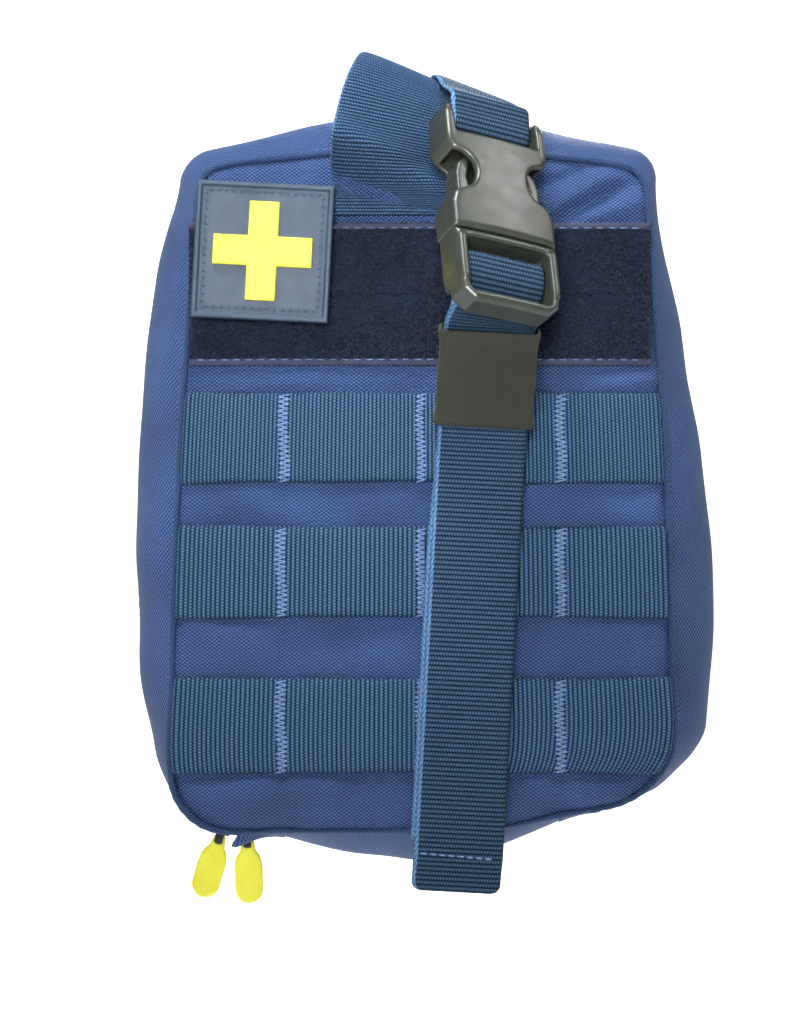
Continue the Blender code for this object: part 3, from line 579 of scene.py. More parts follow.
def make_stage():
    scene = bpy.context.scene
    camera = bpy.data.objects.new("camera", bpy.data.cameras.new("camera"))
    camera.data.lens, camera.data.sensor_width = 77.0, 36.0
    camera.location = Vector((-6.67, -668.0, -6.0)) * MM
    camera.rotation_euler = (math.pi / 2, 0.0, 0.0)
    scene.collection.objects.link(camera)
    scene.camera = camera
    scene.view_settings.view_transform = "Standard"
    # Lamps: name, place, size, spread in degrees, watts and tint.
    lamps = [("key", (-0.08, -0.80, 0.14), 0.30, 31, 0.40, (1.0, 0.99, 0.97)),
             ("top", (-0.12, -0.34, 0.74), 0.26, 180, 7.0, (0.93, 0.96, 1.0)),
             ("side", (-0.80, -0.45, 0.20), 0.50, 180, 0.7, (0.96, 0.98, 1.0)),
             ("glint", (0.50, -0.17, 0.58), 0.20, 180, 1.2, (1.0, 1.0, 1.0)),
             ("rear", (0.12, 0.62, 0.42), 0.30, 180, 3.2, (1.0, 1.0, 1.0))]
    for name, place, size, spread, power, tint in lamps:
        light = bpy.data.lights.new(name, "AREA")
        light.shape, light.size, light.energy, light.color = "DISK", size, power, tint
        light.spread = math.radians(spread)
        lamp = bpy.data.objects.new(name, light)
        lamp.visible_camera = False
        lamp.location = place
        lamp.rotation_euler = (Vector((0, 0, 0.08)) - Vector(place)).to_track_quat("-Z", "Y").to_euler()
        scene.collection.objects.link(lamp)
    world = bpy.data.worlds.new("studio")
    world.use_nodes = True
    tree = world.node_tree
    lit, seen = tree.nodes["Background"], tree.nodes.new("ShaderNodeBackground")
    lit.inputs[0].default_value, lit.inputs[1].default_value = (0.86, 0.92, 1.0, 1.0), 0.045
    seen.inputs[0].default_value, seen.inputs[1].default_value = (1.0, 1.0, 1.0, 1.0), 1.0
    blend = tree.nodes.new("ShaderNodeMixShader")
    tree.links.new(tree.nodes.new("ShaderNodeLightPath").outputs["Is Camera Ray"], blend.inputs[0])
    tree.links.new(lit.outputs[0], blend.inputs[1])
    tree.links.new(seen.outputs[0], blend.inputs[2])
    tree.links.new(blend.outputs[0], tree.nodes["World Output"].inputs[0])
    scene.world = world
    ground_level, wall, curve = -0.172, 1.5, 0.4
    profile = [(-1.9, ground_level), (wall, ground_level)]
    profile += [(wall + curve * math.sin(a), ground_level + curve * (1 - math.cos(a)))
                for a in np.linspace(0.1, 1.57, 12)]
    profile += [(1.9, 1.4)]
    rows = np.array([[(x, y, z) for x in (-2.4, 0.0, 2.4)] for y, z in profile]) / MM
    look = Finish("pale_ground", 0.8, Emission_Color=(1.0, 1.0, 1.0))
    back = look.node("SeparateXYZ", {0: look.place()}).outputs[1]
    glow = look.maths("MAXIMUM", look.spread(back, -0.2, 0.06, 0.16, 0.9),
                      look.spread(back, -0.6, -1.1, 0.0, 0.55))
    look.feed(look.shader.inputs["Emission Strength"], glow)
    tone = look.mix(look.spread(look.noise(3.0), 0.3, 0.7), (0.62, 0.62, 0.62), (0.66, 0.66, 0.66))
    grid("studio_sweep", rows, np.zeros((len(rows), 3, 2)), look.done(tone), None)


# ---------------------------------------------------------------- cover and pouch shells


def close_middle(work):
    """Fill the small hole that rings of points leave in the middle of a panel."""
    rim = [edge for edge in work.edges if edge.is_boundary and edge.calc_length() < 0.6 * MM]
    bmesh.ops.holes_fill(work, edges=rim, sides=0)


def panel(name, depth_of, on, outline, rings=76, face=-1):
    """A sewn panel as rings about its middle, tucked back at its edge."""
    bottom = SEAM_OUTLINE["bottom"] - 0.6 * np.sin(np.linspace(0, math.pi, 60))[:, None]
    run = np.linspace(outline[-1, 0], outline[0, 0], 60)[:, None]
    loop = np.vstack([outline[::2], np.hstack([run, drawn_up(run, bottom)])[1:-1]])
    share = (1 - (1 - np.linspace(0.004, 1, rings)) ** 1.5)[:, None]
    x = loop[None, :, 0] * share
    z = -2.0 + (loop[None, :, 1] + 2.0) * share
    tuck = clamp((share * np.ones(len(loop)) - 0.955) / 0.045)
    depth = depth_of(x, z) - face * -1.9 * tuck**2
    points, uv = turned_over(-face, at(x, depth, z), pairs(x, z))
    obj = grid(name, points, uv, NAVY, on, around=True)
    edit(obj, close_middle)
    thicken(obj, 0.9)


def side_wall(name, depths, on, seed):
    """The gusset from a seam to the zip: full, rippled and gathered a little where it is sewn."""
    share = np.linspace(0, 1, 30)
    depth = depths[0] + (depths[1] - depths[0]) * share
    run = lengths(SEAM)
    grow = 1 - (1 - share) ** 2.1
    line = SEAM[None] + (ZIP - SEAM)[None] * grow[:, None, None]
    waves = ripples(seed, 9, 22, 70)(run[None], depth[:, None] * 1.3)
    gather = np.sin(run[None] * 2 * math.pi / 3.3) * np.exp(-share[:, None] / 0.07) * 0.12
    ends = clamp(np.minimum(run, run[-1] - run) / 40.0)[None]
    puff = (0.85 + 0.6 * waves) * ends * np.sin(math.pi * share[:, None]) ** 0.8 + gather
    line = line + outward(SEAM)[None] * puff[..., None]
    points = at(line[..., 0], depth[:, None], line[..., 1])
    slant = lengths(np.stack([share * abs(depths[1] - depths[0]), grow * 10.0], -1))
    uv = pairs(run[None], slant[:, None])
    if depths[1] > depths[0]:
        points, uv = points[::-1], uv[::-1]
    grid(name, points, uv, NAVY, on, thickness=0.9)


def seam_roll(name, depth, on, grow=0.85, radius=1.15):
    """The bound seam allowance, a soft roll of cloth pinched by its stitches."""
    line = wall_outline(SEAM_OUTLINE, 700, grow)
    low = np.linspace(line[-1, 0], line[0, 0], 160)[1:-1]
    low_line = np.stack([low, drawn_up(low, line[0, 1] + 0.3)], -1)
    line = np.vstack([line, low_line])
    run = lengths(line)
    along = unit(np.roll(line, -1, 0) - np.roll(line, 1, 0))
    away = np.stack([-along[:, 1], along[:, 0]], -1)
    angle = np.linspace(0, 2 * math.pi, 15)[:-1]
    uneven = ripples(3, 6, 9, 30)(run, run * 0)
    swell = radius * (1 + 0.07 * np.sin(run * 2 * math.pi / 3.4) + 0.06 * uneven)
    swell[len(line) - len(low):] *= 0.75
    off = swell[:, None] * np.cos(angle) * 0.85
    x = line[:, :1] + away[:, :1] * off
    z = line[:, 1:] + away[:, 1:] * off
    points = at(x, depth + swell[:, None] * np.sin(angle), z)
    turn = np.linspace(0, 2 * math.pi * radius, 15)
    uv = pairs(run[:, None], turn[None])
    points = np.concatenate([points, points[:1]])
    uv = np.concatenate([uv, uv[-1:] + (0.6, 0)])
    grid(name, points, uv, NAVY_EDGE, on, around=True)


def zip_side(label, tape, coil_depth, body):
    """A woven tape and the moulded coil along its edge."""
    start, end = tape
    depth = np.linspace(start, end, 6)
    run = lengths(ZIP)
    points = at(ZIP[None, :, 0], depth[:, None], ZIP[None, :, 1])
    uv = pairs(run[None], depth[:, None])
    grid(f"zip_tape_weave_{label}", points, uv, ZIP_TAPE, (body, f"zip_tape_{label}"), thickness=0.7)
    pitch = 1.5
    back = start if abs(start - coil_depth) < abs(end - coil_depth) else end
    shift = 0.0 if label == "front" else pitch / 2
    spots = np.arange(pitch + shift, run[-1] - pitch, pitch)
    base = np.stack([np.interp(spots, run, ZIP[:, k]) for k in range(2)], -1)
    away = outward(ZIP)
    away = unit(np.stack([np.interp(spots, run, away[:, k]) for k in range(2)], -1))
    toward_zip = 1.0 if coil_depth > back else -1.0
    turn = np.radians([-60, -20, 15, 55, 90, 125, 165, 200, 240])
    reach = coil_depth + toward_zip * (0.95 * np.sin(turn) + 0.1)
    off = 0.95 * np.cos(turn) - 1.2
    x = base[:, :1] + away[:, :1] * off
    z = base[:, 1:] + away[:, 1:] * off
    lines = at(x, reach[None], z)
    threads(f"zip_coil_turns_{label}", lines, 0.36, COIL, (body, f"zip_coil_{label}"), 5)
    inner = base - away * 1.3
    core = at(inner[:, 0], coil_depth - toward_zip * 0.55, inner[:, 1])[None]
    threads(f"zip_cord_{label}", core, 0.5, ZIP_TAPE, body, 6)


def bottom_height(x, depth):
    """The cloth under the pouch: slack in the middle, lowest at the zip, drawn up on the right."""
    reach = clamp((np.abs(depth - ZIP_PLANE) / 26.0) ** 2)
    level = ZIP_OUTLINE["bottom"] + (SEAM_OUTLINE["bottom"] - ZIP_OUTLINE["bottom"]) * reach + 0.1
    sag = HINGE_SAG * clamp(1 - (x / HINGE_HALF) ** 2) ** 1.25 * (1 - reach)
    return drawn_up(x, level) - sag


def make_hinge():
    """The bottom of the pouch, one cloth across both halves, slack in the middle, with folded, sewn ends.
    """
    depth = np.linspace(12.4, 66.2, 60)[:, None]
    x = np.linspace(-HINGE_HALF, HINGE_HALF, 90)[None] + 0 * depth
    slack = clamp(1 - (x / HINGE_HALF) ** 2) * clamp(1 - (np.abs(depth - ZIP_PLANE) / 26.0) ** 2)
    z = bottom_height(x, depth) + 0.35 * ripples(21, 8, 14, 40)(x, depth) * slack
    points, uv = turned_over(-1, at(x, depth, z), pairs(x, depth))
    stands_for = (None, "bottom_panel_rear", "bottom_panel_front")
    fold = [grid("bottom_cloth", points, uv, NAVY, stands_for, thickness=1.0)]
    # The folded ends reach further out in front of and behind the sliders.
    spread = 4.6 * clamp(np.maximum((depth - 50.0) / 3.0, (35.0 - depth) / 3.0))
    hang = bell(depth, 55.0, 3.2, 4)
    for side in (-1, 1):
        share = np.linspace(0, 1, 14)[None]
        reach = HINGE_HALF - 38.5 + spread + (3.0 * hang if side < 0 else 0.0)
        part = side * (38.5 + reach * share)
        rim = clamp((share - 0.88) / 0.12)
        fall = (4.6 * hang if side < 0 else 1.2 * hang) * share**1.5
        tab = at(part, depth, bottom_height(part, depth) - 0.75 + 0.8 * rim**2 - fall)
        tab, where = turned_over(-side, tab, pairs(depth, part))
        name = "bottom_fold_left" if side < 0 else "bottom_fold_right"
        fold.append(grid(name, tab, where, NAVY, (None,), thickness=0.7))
    for piece in fold:
        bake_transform(piece)
    for side, label in SIDES:
        for half, body, span in (("front", "cover", (53.5, 65.0)), ("rear", "pouch", (13.5, 31.0))):
            run = np.linspace(*span, 12)
            for spot in (39.6,) if half == "front" else (41.5, 48.2):
                fall = bottom_height(side * spot, run) - 0.95
                stitches(f"fold_stitch_{label}_{half}_{round(spot)}", at(side * spot, run, fall), 3.0, body,
                         DARK_THREAD, (0, 0, -1))


def make_shells():
    panel("front_cloth", front_depth, ("cover", "front_panel"), SEAM)
    panel("back_cloth", lambda x, z: 10.6 - 0.25 * CLOTH(x, z), ("pouch", "back_panel"), SEAM, 40, 1)
    side_wall("front_gusset", (66.4, 43.6), ("cover", "front_side_wall"), 31)
    side_wall("rear_gusset", (12.0, 34.4), ("pouch", "rear_side_wall"), 47)
    seam_roll("front_binding", 66.9, ("cover", "front_piping"))
    seam_roll("rear_binding", 11.4, ("pouch", "back_piping"))
    zip_side("front", (44.2, 41.2), 40.1, "cover")
    zip_side("rear", (33.8, 36.8), 37.9, "pouch")
    for label, depth, body in (("front", 43.2, "cover"), ("rear", 34.8, "pouch")):
        line = ZIP + outward(ZIP) * 0.2
        stitches(f"zip_stitch_{label}", at(line[:, 0], depth, line[:, 1]), 3.2, body, DARK_THREAD,
                 (0, 0, 1), rise=0.05, radius=0.16)
    make_hinge()


# ---------------------------------------------------------------- front webbing and loop tape


def bow(x):
    """How far a row stands off between the tacks that hold it."""
    stops = np.array([-66.5, *TACKS, 66.5])
    place = np.clip(np.searchsorted(stops, x) - 1, 0, len(stops) - 2)
    share = (x - stops[place]) / (stops[place + 1] - stops[place])
    return np.sin(math.pi * clamp(share)) ** 2


def zigzag(name, x, z, height, depth, body, width, toward=-1.0, finish=THREAD):
    """A bar tack: one thread laid to and fro across its own length, a little uneven."""
    rng = np.random.default_rng(abs(round(x * 10 + z)))
    count = int(height / 0.62)
    level = z + np.linspace(-height / 2, height / 2, count) + rng.normal(0, 0.05, count)
    side = np.where(np.arange(count) % 2, 0.5, -0.5) * width * rng.uniform(0.86, 1.1, count)
    drift = 0.3 * np.sin(np.linspace(0, 7, count))
    a, b = slice(0, -1), slice(1, None)
    share = np.linspace(0, 1, 6)[None]
    line_x = x + drift[a, None] + side[a, None] * (1 - share) + side[b, None] * share
    line_z = level[a, None] * (1 - share) + level[b, None] * share
    line_depth = depth(line_x, line_z) + toward * -0.26 * (np.sin(math.pi * share) ** 0.5 - 0.35)
    lines = at(line_x, line_depth, line_z)
    thin = 0.25 * np.array([0.5, 1, 1, 1, 1, 0.5])
    threads(name, lines, thin, finish, body)


def make_rows():
    for label, height in ROW_HEIGHTS.items():
        pitch = ROW_PITCH[label]
        share = np.linspace(-1, 1, round(133.0 / pitch * 4) + 1)
        tall = ROW_HALF_HEIGHT[label]
        t = np.linspace(-tall, tall, 27)
        edge_wave = 0.25 * ripples(round(abs(height)), 5, 25, 60)(share * 66, 0 * share)
        z = height + t[None] + (edge_wave + 0.35 * (share**2))[:, None] * (t[None] / tall)
        z = z + 0.3 * (1 - share[:, None] ** 2)
        x = share[:, None] * (seam_reach(share[:, None], z) - 0.2)
        ends = clamp((np.abs(share) - 0.972) / 0.028)[:, None]
        stand = 0.75 + 0.95 * bow(x) * (1 - 0.25 * (t[None] / tall) ** 2) - 1.0 * ends**2
        ribbon(f"front_row_{label}", at(x, SEWN_FACE + dome(x, z) + stand, z), tall, 1.4, pitch, WEBBING,
               ("cover", f"front_webbing_{label}"), (0, -1, 0), 0.2)
        for number, x in enumerate(TACKS):
            lean = 0.8 if label == "upper" and number == 0 else 0.0
            zigzag(f"tack_{label}_{number}", x + lean, height, 2 * tall - 0.5,
                   lambda a, b: SEWN_FACE + dome(a, b) + 1.5 + 0.95 * bow(a), "cover",
                   2.6 if number == 1 else 3.1)


def pile(name, low, high, count, depth, body, seed, forward=1.0, tall=1.25, finish=PILE, width=0.9):
    """Loops of yarn standing on their ground cloth."""
    rng = np.random.default_rng(seed)
    x = rng.uniform(low[0], high[0], count)
    z = rng.uniform(low[1], high[1], count)
    angle = rng.uniform(0, 2 * math.pi, count)
    size = rng.uniform(0.6, 1.15, count)[:, None]
    lean = rng.normal(0, 0.35, (count, 2))
    share = np.linspace(0, 1, 5)[None]
    swing = np.cos(math.pi * share) * 0.5 * width * size
    rise = np.sin(math.pi * share) * tall * size
    line_x = x[:, None] + np.cos(angle)[:, None] * swing + lean[:, :1] * rise
    line_z = z[:, None] + np.sin(angle)[:, None] * swing + lean[:, 1:] * rise
    lines = at(line_x, depth(line_x, line_z) + forward * (rise - 0.1), line_z)
    threads(name, lines, 0.085, finish, body, 3)


def ground(name, low, high, depth, on, finish, thickness):
    """A flat tape in the front plane, lightly uneven."""
    x, z = (np.linspace(a, b, round((b - a) / 0.8) + 1) for a, b in zip(low, high))
    x, z = x[None], z[:, None]
    points = at(x, depth(x, z) + 0.12 * FINE_CLOTH(x * 2.1, z * 2.1), z)
    grid(name, points, pairs(x, z), finish, on, thickness=thickness)


def make_loop_tape():
    def surface(x, z):
        return SEWN_FACE + 0.9 + dome(x, z) + 0.25 * CLOTH(x, z)

    spans = {"upper": (LOOP_SEAM + 0.15, LOOP_TOP), "lower": (LOOP_BOTTOM, LOOP_SEAM - 0.15)}
    left, right = -LOOP_HALF + 0.6, LOOP_HALF - 2.0
    for label, (low, high) in spans.items():
        ground(f"loop_ground_{label}", (left, low), (right, high), surface,
               ("cover", f"loop_field_{label}"), PILE_BASE, 1.0)
        trim = (1.9, 0.3) if label == "lower" else (0.3, 1.9)
        pile(f"loop_pile_{label}", (left + 0.5, low + trim[0]), (right - 0.5, high - trim[1]), 6200,
             surface, "cover", 71 if label == "upper" else 72)
    for label, z, inner in (("top", LOOP_TOP - 0.9, -1.1), ("bottom", LOOP_BOTTOM + 0.9, 1.1)):
        ground(f"loop_selvedge_{label}", (left, z - 0.95), (right, z + 0.95),
               lambda x, q: surface(x, q) + 0.25, "cover", PILE_EDGE, 0.5)
        x = np.linspace(left + 1, right - 1, 120)
        height = z + inner * 0.55
        stitches(f"loop_stitch_{label}", at(x, surface(x, height) + 0.35, height), 3.3, "cover", THREAD,
                 radius=0.2, rise=0.34)


# ---------------------------------------------------------------- straps, handle and keeper


def turn_matrix():
    turn = (Matrix.Rotation(math.radians(BUCKLE_ROLL), 4, "Y")
            @ Matrix.Rotation(math.radians(BUCKLE_YAW), 4, "Z")
            @ Matrix.Rotation(math.radians(-BUCKLE_PITCH), 4, "X"))
    return np.array(turn.to_3x3())


BUCKLE_TURN = turn_matrix()
BUCKLE_AT = at(*BUCKLE_CENTRE)
BUCKLE_ACROSS = BUCKLE_TURN[:, 0]


def on_buckle(points):
    """World points from the buckle's own across, outward and up."""
    points = np.asarray(points, float)
    return BUCKLE_AT + np.stack([points[..., 0], -points[..., 1], points[..., 2]], -1) @ BUCKLE_TURN.T


def strap_x(z):
    z = np.asarray(z, float)
    straight = np.interp(z, [STRAP_FOOT[1], STRAP_HEAD[1]], [STRAP_FOOT[0], STRAP_HEAD[0]])
    return straight + np.clip(z - 30, 0, None) * 0.0546


STRAP_LEAN = unit(np.array([139.3, 0.0, -7.6]))


def clear_of_rows(x, depth, z):
    """Keep a strap layer off the domed front without a kink."""
    level = SEWN_FACE + dome(x, z) + 3.1
    return 0.5 * np.logaddexp(depth / 0.5, level / 0.5)


def make_lower_strap():
    heights = np.array(STRAP_RISE, float)
    rise_z = np.concatenate([np.linspace(-96, -8, 12), heights[3:, 0]])
    rise_depth = np.interp(rise_z, heights[:, 0], heights[:, 1])
    x = strap_x(rise_z)
    rear = clear_of_rows(x, rise_depth, rise_z)
    slip = 1.1 * clamp((12 - rise_z) / 30.0)
    rising = at(x - slip, rear, rise_z)
    loop = [(-5.4, -26.5), (-4.9, -24.4), (-3.6, -21.4), (-2.4, -18.6), (-1.8, -16.1), (0.0, -15.6),
            (2.0, -16.1), (2.4, -19.8), (1.5, -22.6), (-0.9, -25.2), (-3.2, -27.2)]
    turning = on_buckle([(0, w, v) for w, v in loop])
    falling = at(x, rear + LAYER_PITCH, rise_z)[::-1]
    tail_z = np.array([-99.5, -104.0, STRAP_FOOT[1]])
    tail = at(strap_x(tail_z) + (0, -0.2, -0.3), [73.6, 73.2, 72.9], tail_z)
    path = np.vstack([rising, turning, falling, tail])
    low, high = STRAP_LEAN, BUCKLE_ACROSS
    across = np.array([low] * len(rising) + [high] * len(turning) + [low] * (len(falling) + 3))
    full = smooth_path(np.hstack([path, across]), STRAP_RIB / 4)
    rows = strap_rows(full[:, :3], unit(full[:, 3:]), rounded_end(full))
    strap = ribbon("retention_strap", rows, STRAP_WIDTH / 2, STRAP_THICKNESS, STRAP_RIB, STRAP,
                   (None, "retention_strap_lower"), (0, 0, 0), 0.2)
    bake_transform(strap)
    hem_z = np.linspace(-108.9, -100.4, 12)
    hem = smooth_path(at(strap_x(hem_z) - 0.4, 71.5, hem_z), 0.325)
    hem_rows = strap_rows(hem, np.array([low] * len(hem)), rounded_end(hem[::-1])[::-1] - 0.4)
    ribbon("strap_hem", hem_rows, STRAP_WIDTH / 2, 1.1, STRAP_RIB, STRAP, "cover", (0, -1, 0), 0.15)
    ends = np.array([-11.4, 11.2])
    line = at(strap_x(-99.4) + ends * STRAP_LEAN[0], 74.15, -99.4 + ends * STRAP_LEAN[2] - ends * 0.035)
    stitches("hem_stitch", line, 2.5, "cover", THREAD, radius=0.3, rise=0.4, long=0.8)


def rounded_end(path, radius=2.6):
    """A strap's width along its path, rounded off at the far end."""
    run = lengths(path[:, :3])
    left = np.clip(radius - (run[-1] - run), 0, radius)
    return STRAP_WIDTH - 2 * (radius - np.sqrt(radius**2 - 0.999 * left**2))


def make_top_strap():
    world = [(13.0, 46.8, 109.8), (13.2, 52, 110.0), (13.6, 57.5, 110.6),
             (14.2, 64, 110.2), (15.2, 70.5, 108.2), (16.6, 76.5, 105.4)]
    world = np.array([at(*point) for point in world])
    loop = [(3.2, 33), (2.9, 28.5), (2.7, 24.8), (1.7, 22.9), (-0.8, 22.3), (-2.7, 24.2),
            (-2.8, 28.5), (-0.4, 31.5)]
    turned = on_buckle([(0, w, v) for w, v in loop])
    flat, on_handle = np.array([1.0, 0, 0]), unit(np.array([0.94, 0.06, -0.34]))
    shares = (0.0, 0.4, 0.8, 1.0, 1.0)
    across = [flat + (on_handle - flat) * share for share in shares] + [(on_handle + BUCKLE_ACROSS) / 2]
    across = np.vstack([across, [BUCKLE_ACROSS] * len(loop)])
    full = smooth_path(np.hstack([np.vstack([world, turned]), across]), STRAP_RIB / 4)
    rows = strap_rows(full[:, :3], unit(full[:, 3:]), STRAP_WIDTH)
    ribbon("top_strap", rows, STRAP_WIDTH / 2, STRAP_THICKNESS, STRAP_RIB, STRAP,
           ("cover", "retention_strap_upper"), (0, -0.3, 1), 0.2)


# Edges of the handle: across, depth and height.
HANDLE_LEFT = [(-25, 69.2, 75), (-25, 69.4, 84), (-25, 73.5, 89.5), (-24.5, 79.5, 94), (-23, 82, 102),
               (-20, 80, 112), (-17, 74, 118.5), (-16, 66, 119), (-15.5, 58, 114.5), (-15, 51.5, 109.7),
               (-15, 46.5, 107.9)]
HANDLE_RIGHT = [(25, 69.2, 75), (25, 69.3, 79), (25, 69.6, 83), (25, 70.2, 87.5), (25, 70.2, 91),
                (25, 68.8, 95), (25, 66.2, 98.8), (25.5, 62, 101.8), (26, 57, 103.8), (26, 52, 105.4),
                (26, 46.5, 107.2)]


def make_handle():
    edges = [np.array([at(*point) for point in side]) for side in (HANDLE_LEFT, HANDLE_RIGHT)]
    lift = np.array([dome(0.0, 76.0), 0.5] + [0.0] * 9)
    for edge in edges:
        edge[:, 1] -= lift * 0.8
    left, right = (smooth_path(edge, count=330) for edge in edges)
    share = np.linspace(0, 1, 51)[None, :, None]
    rows = left[:, None] + (right - left)[:, None] * share
    swell = np.sin(math.pi * share) * np.sin(math.pi * np.linspace(0, 1, 330))[:, None, None] ** 2
    rows = rows + swell * np.array([0, -1.2, 0.6])
    # It folds over a ridge that falls to the right, and is pinched in below it.
    x, z = rows[..., 0], rows[..., 2]
    off = z - (95.5 - 0.48 * (x + 24.4))
    near = clamp((z - 76.0) / 5.0) * clamp((18.0 - x) / 16.0) * (rows[..., 1] < -66.0)
    rows[..., 1] -= near * (5.2 * bell(off, 0, 4.6) - 2.6 * bell(off, -8.5, 3.8))
    pitch = lengths((left + right) / 2)[-1] / 82.0
    ribbon("grab_handle", rows, 25.0, 1.6, pitch, HANDLE, ("cover", "carry_handle"), (0, -1, 0), 0.24)


KEEPER_HALF, KEEPER_DEEP = 13.2, 3.0


def keeper_frame():
    centre = np.array([16.8, -86.55, 30.0])
    lean = np.array([0.998515, 0.0, -0.054477])
    out = np.array([0.022328, 0.912149, 0.409249])
    return centre, lean, out, np.array([0.049692, -0.409858, 0.910795])


def make_keeper():
    """An elastic sleeve about the strap, turned under at both ends."""
    centre, lean, out, rise = keeper_frame()
    level = np.concatenate([[-13.2, -13.45, -13.0, -12.1, -11.4, -11.0],
                            np.linspace(-10.5, 10.5, 50),
                            [11.0, 11.4, 12.0, 12.9, 13.4, 13.2]])
    fat = np.concatenate([[-0.7, -0.1, 0.35, 0.35, 0.02, -0.05],
                          np.zeros(50),
                          [-0.05, 0.02, 0.3, 0.3, -0.1, -0.7]])
    pinch = 0.35 * np.sin(level * 0.25) ** 2
    angle = np.linspace(0, 2 * math.pi, 97)[:-1]
    power = 0.22
    u = np.sign(np.cos(angle)) * np.abs(np.cos(angle)) ** power * KEEPER_HALF
    w = np.sign(np.sin(angle)) * np.abs(np.sin(angle)) ** power * KEEPER_DEEP
    grow = fat[:, None] - pinch[:, None] * np.abs(np.cos(angle)) ** 8
    far = np.hypot(u / KEEPER_HALF, w / KEEPER_DEEP)
    u, w = u + grow * u / KEEPER_HALF / far, w + grow * w / KEEPER_DEEP / far
    w = w + 0.12 * np.sin(level * 0.6)[:, None]
    points = centre + u[..., None] * lean + w[..., None] * out + level[:, None, None] * rise
    around = lengths(np.stack([u[30], w[30]], -1))
    around = np.concatenate([around, [around[-1] + 0.6]])
    uv = pairs(around[None], level[:, None])
    sleeve = grid("keeper_sleeve", points, uv, ELASTIC, ("keeper", "elastic_keeper"), around=True,
                  thickness=0.8)
    if surface_normals(points, (0, -1, 0))[20, 72] @ out > 0:
        sleeve.modifiers["thickness"].offset = 1.0


# ---------------------------------------------------------------- solids from distance fields


def plan(outline, u, v):
    """Signed distance to a polygon in the plane of the first and last axes, negative inside."""
    a, b = u[:, 0], v[:, 0]
    p = np.asarray(outline, float)
    q = np.roll(p, -1, 0)
    best = np.full(a.shape, 1e9)
    inside = np.zeros(a.shape, bool)
    for (ax, ay), (bx, by) in zip(p, q):
        ex, ey = bx - ax, by - ay
        share = clamp(((a - ax) * ex + (b - ay) * ey) / max(ex * ex + ey * ey, 1e-9))
        best = np.minimum(best, np.hypot(a - ax - ex * share, b - ay - ey * share))
        if ay != by:
            crosses = ((ay > b) != (by > b)) & (a < ex * (b - ay) / ey + ax)
            inside ^= crosses
    return np.where(inside, -best, best)[:, None]


def thick(flat, level, radius):
    """Join a plane distance and a height distance with a rounded edge."""
    p, q = flat + radius, level + radius
    return np.minimum(np.maximum(p, q), 0) + np.hypot(np.maximum(p, 0), np.maximum(q, 0)) - radius


def block(u, w, v, centre, half, radius=0.6):
    p = [np.abs(c - m) - h + radius for c, m, h in zip((u, w, v), centre, half)]
    outside = np.sqrt(sum(np.maximum(c, 0) ** 2 for c in p))
    return outside + np.minimum(np.maximum(np.maximum(p[0], p[1]), p[2]), 0) - radius


def blended(a, b, soft=0.6):
    share = clamp(0.5 + 0.5 * (b - a) / soft)
    return b + (a - b) * share - soft * share * (1 - share)


def carved(a, b, soft=0.5):
    return -blended(-a, b, soft)


def with_blocks(body, axes, *blocks):
    """Blocks joined to a body, or cut from it where soft is below 0: centre, half size, radius, soft."""
    for centre, half, radius, soft in blocks:
        piece = block(*axes, centre, half, radius)
        body = blended(body, piece, soft) if soft > 0 else carved(body, piece, -soft)
    return body


def solid(name, low, high, step, field, place, finish, *on):
    """Mesh the zero level of a distance field given over its own axes."""
    axes = [np.arange(a, b + step, step) for a, b in zip(low, high)]
    values = field(*np.meshgrid(*axes, indexing="ij")).astype(np.float32)
    volume = openvdb.FloatGrid(float(values.max()) + 1.0)
    volume.copyFromArray(values)
    points, faces = volume.convertToQuads(0.0)
    points = points.astype(float) * step + np.array(low)
    obj = add_mesh(name, place(points), faces.astype(int), finish, on)
    edit(obj, lambda work: bmesh.ops.recalc_face_normals(work, faces=work.faces))
    obj.data.shade_smooth()


# Right-hand outlines of the buckle's parts: across and up.
SOCKET = [(15.2, -10.4), (15.3, -3.0), (14.4, 0.2), (11.2, 2.7), (9.4, 5.8), (9.4, 9.1), (10.8, 12.2),
          (13.8, 14.1), (15.2, 16.7), (15.2, 21.5), (14.8, 26.5), (14.2, 28.5), (12.5, 28.5), (12.5, 27.0)]
PLUG = [(15.2, -10.7), (15.2, -23.0), (14.2, -29.0), (11.0, -31.9)]
PRONG = [(6.0, -9.4), (8.8, -9.4), (11.0, -1.6), (12.6, 0.2), (12.6, 7.4), (11.6, 10.8), (9.4, 13.2),
         (8.1, 12.0), (9.3, 6.4), (7.7, -1.2)]


def mirrored(right):
    return right + [(-u, v) for u, v in reversed(right)]


def socket_field(u, w, v):
    flat = plan(mirrored(SOCKET), u, v) - 0.1
    front = 6.25 - 0.9 * (u / 15) ** 2 - 0.5 * ((v - 6) / 20) ** 2
    body = thick(flat + 0 * w, np.where(w > 0, w - front, -w - 5.8), 1.4)
    waist = np.maximum(np.hypot(np.abs(u) - 12.6, (v - 7.5) * 0.85) - 4.9, 2.6 - w)
    body = carved(body, waist, 1.0)
    body = with_blocks(body, (u, w, v), ((0, 0, 2.0), (13.1, 3.9, 14.5), 1.0, -0.5),
                       ((0, 0, 21.9), (12.5, 12, 2.5), 0.8, -0.5))
    for side in (-1, 1):
        body = with_blocks(body, (u, w, v), ((0, side * 6.4, 27.8), (12.5, 4.6, 4.5), 0.8, -0.5),
                           ((side * 14.0, 0.4, 21.8), (0.9, 4.6, 4.4), 0.8, 0.8))
    bar = np.hypot(w, (v - 26.0) * 0.85) - 1.5
    bar = np.maximum(bar, np.abs(u) - 13.0)
    return blended(body, bar, 0.5)


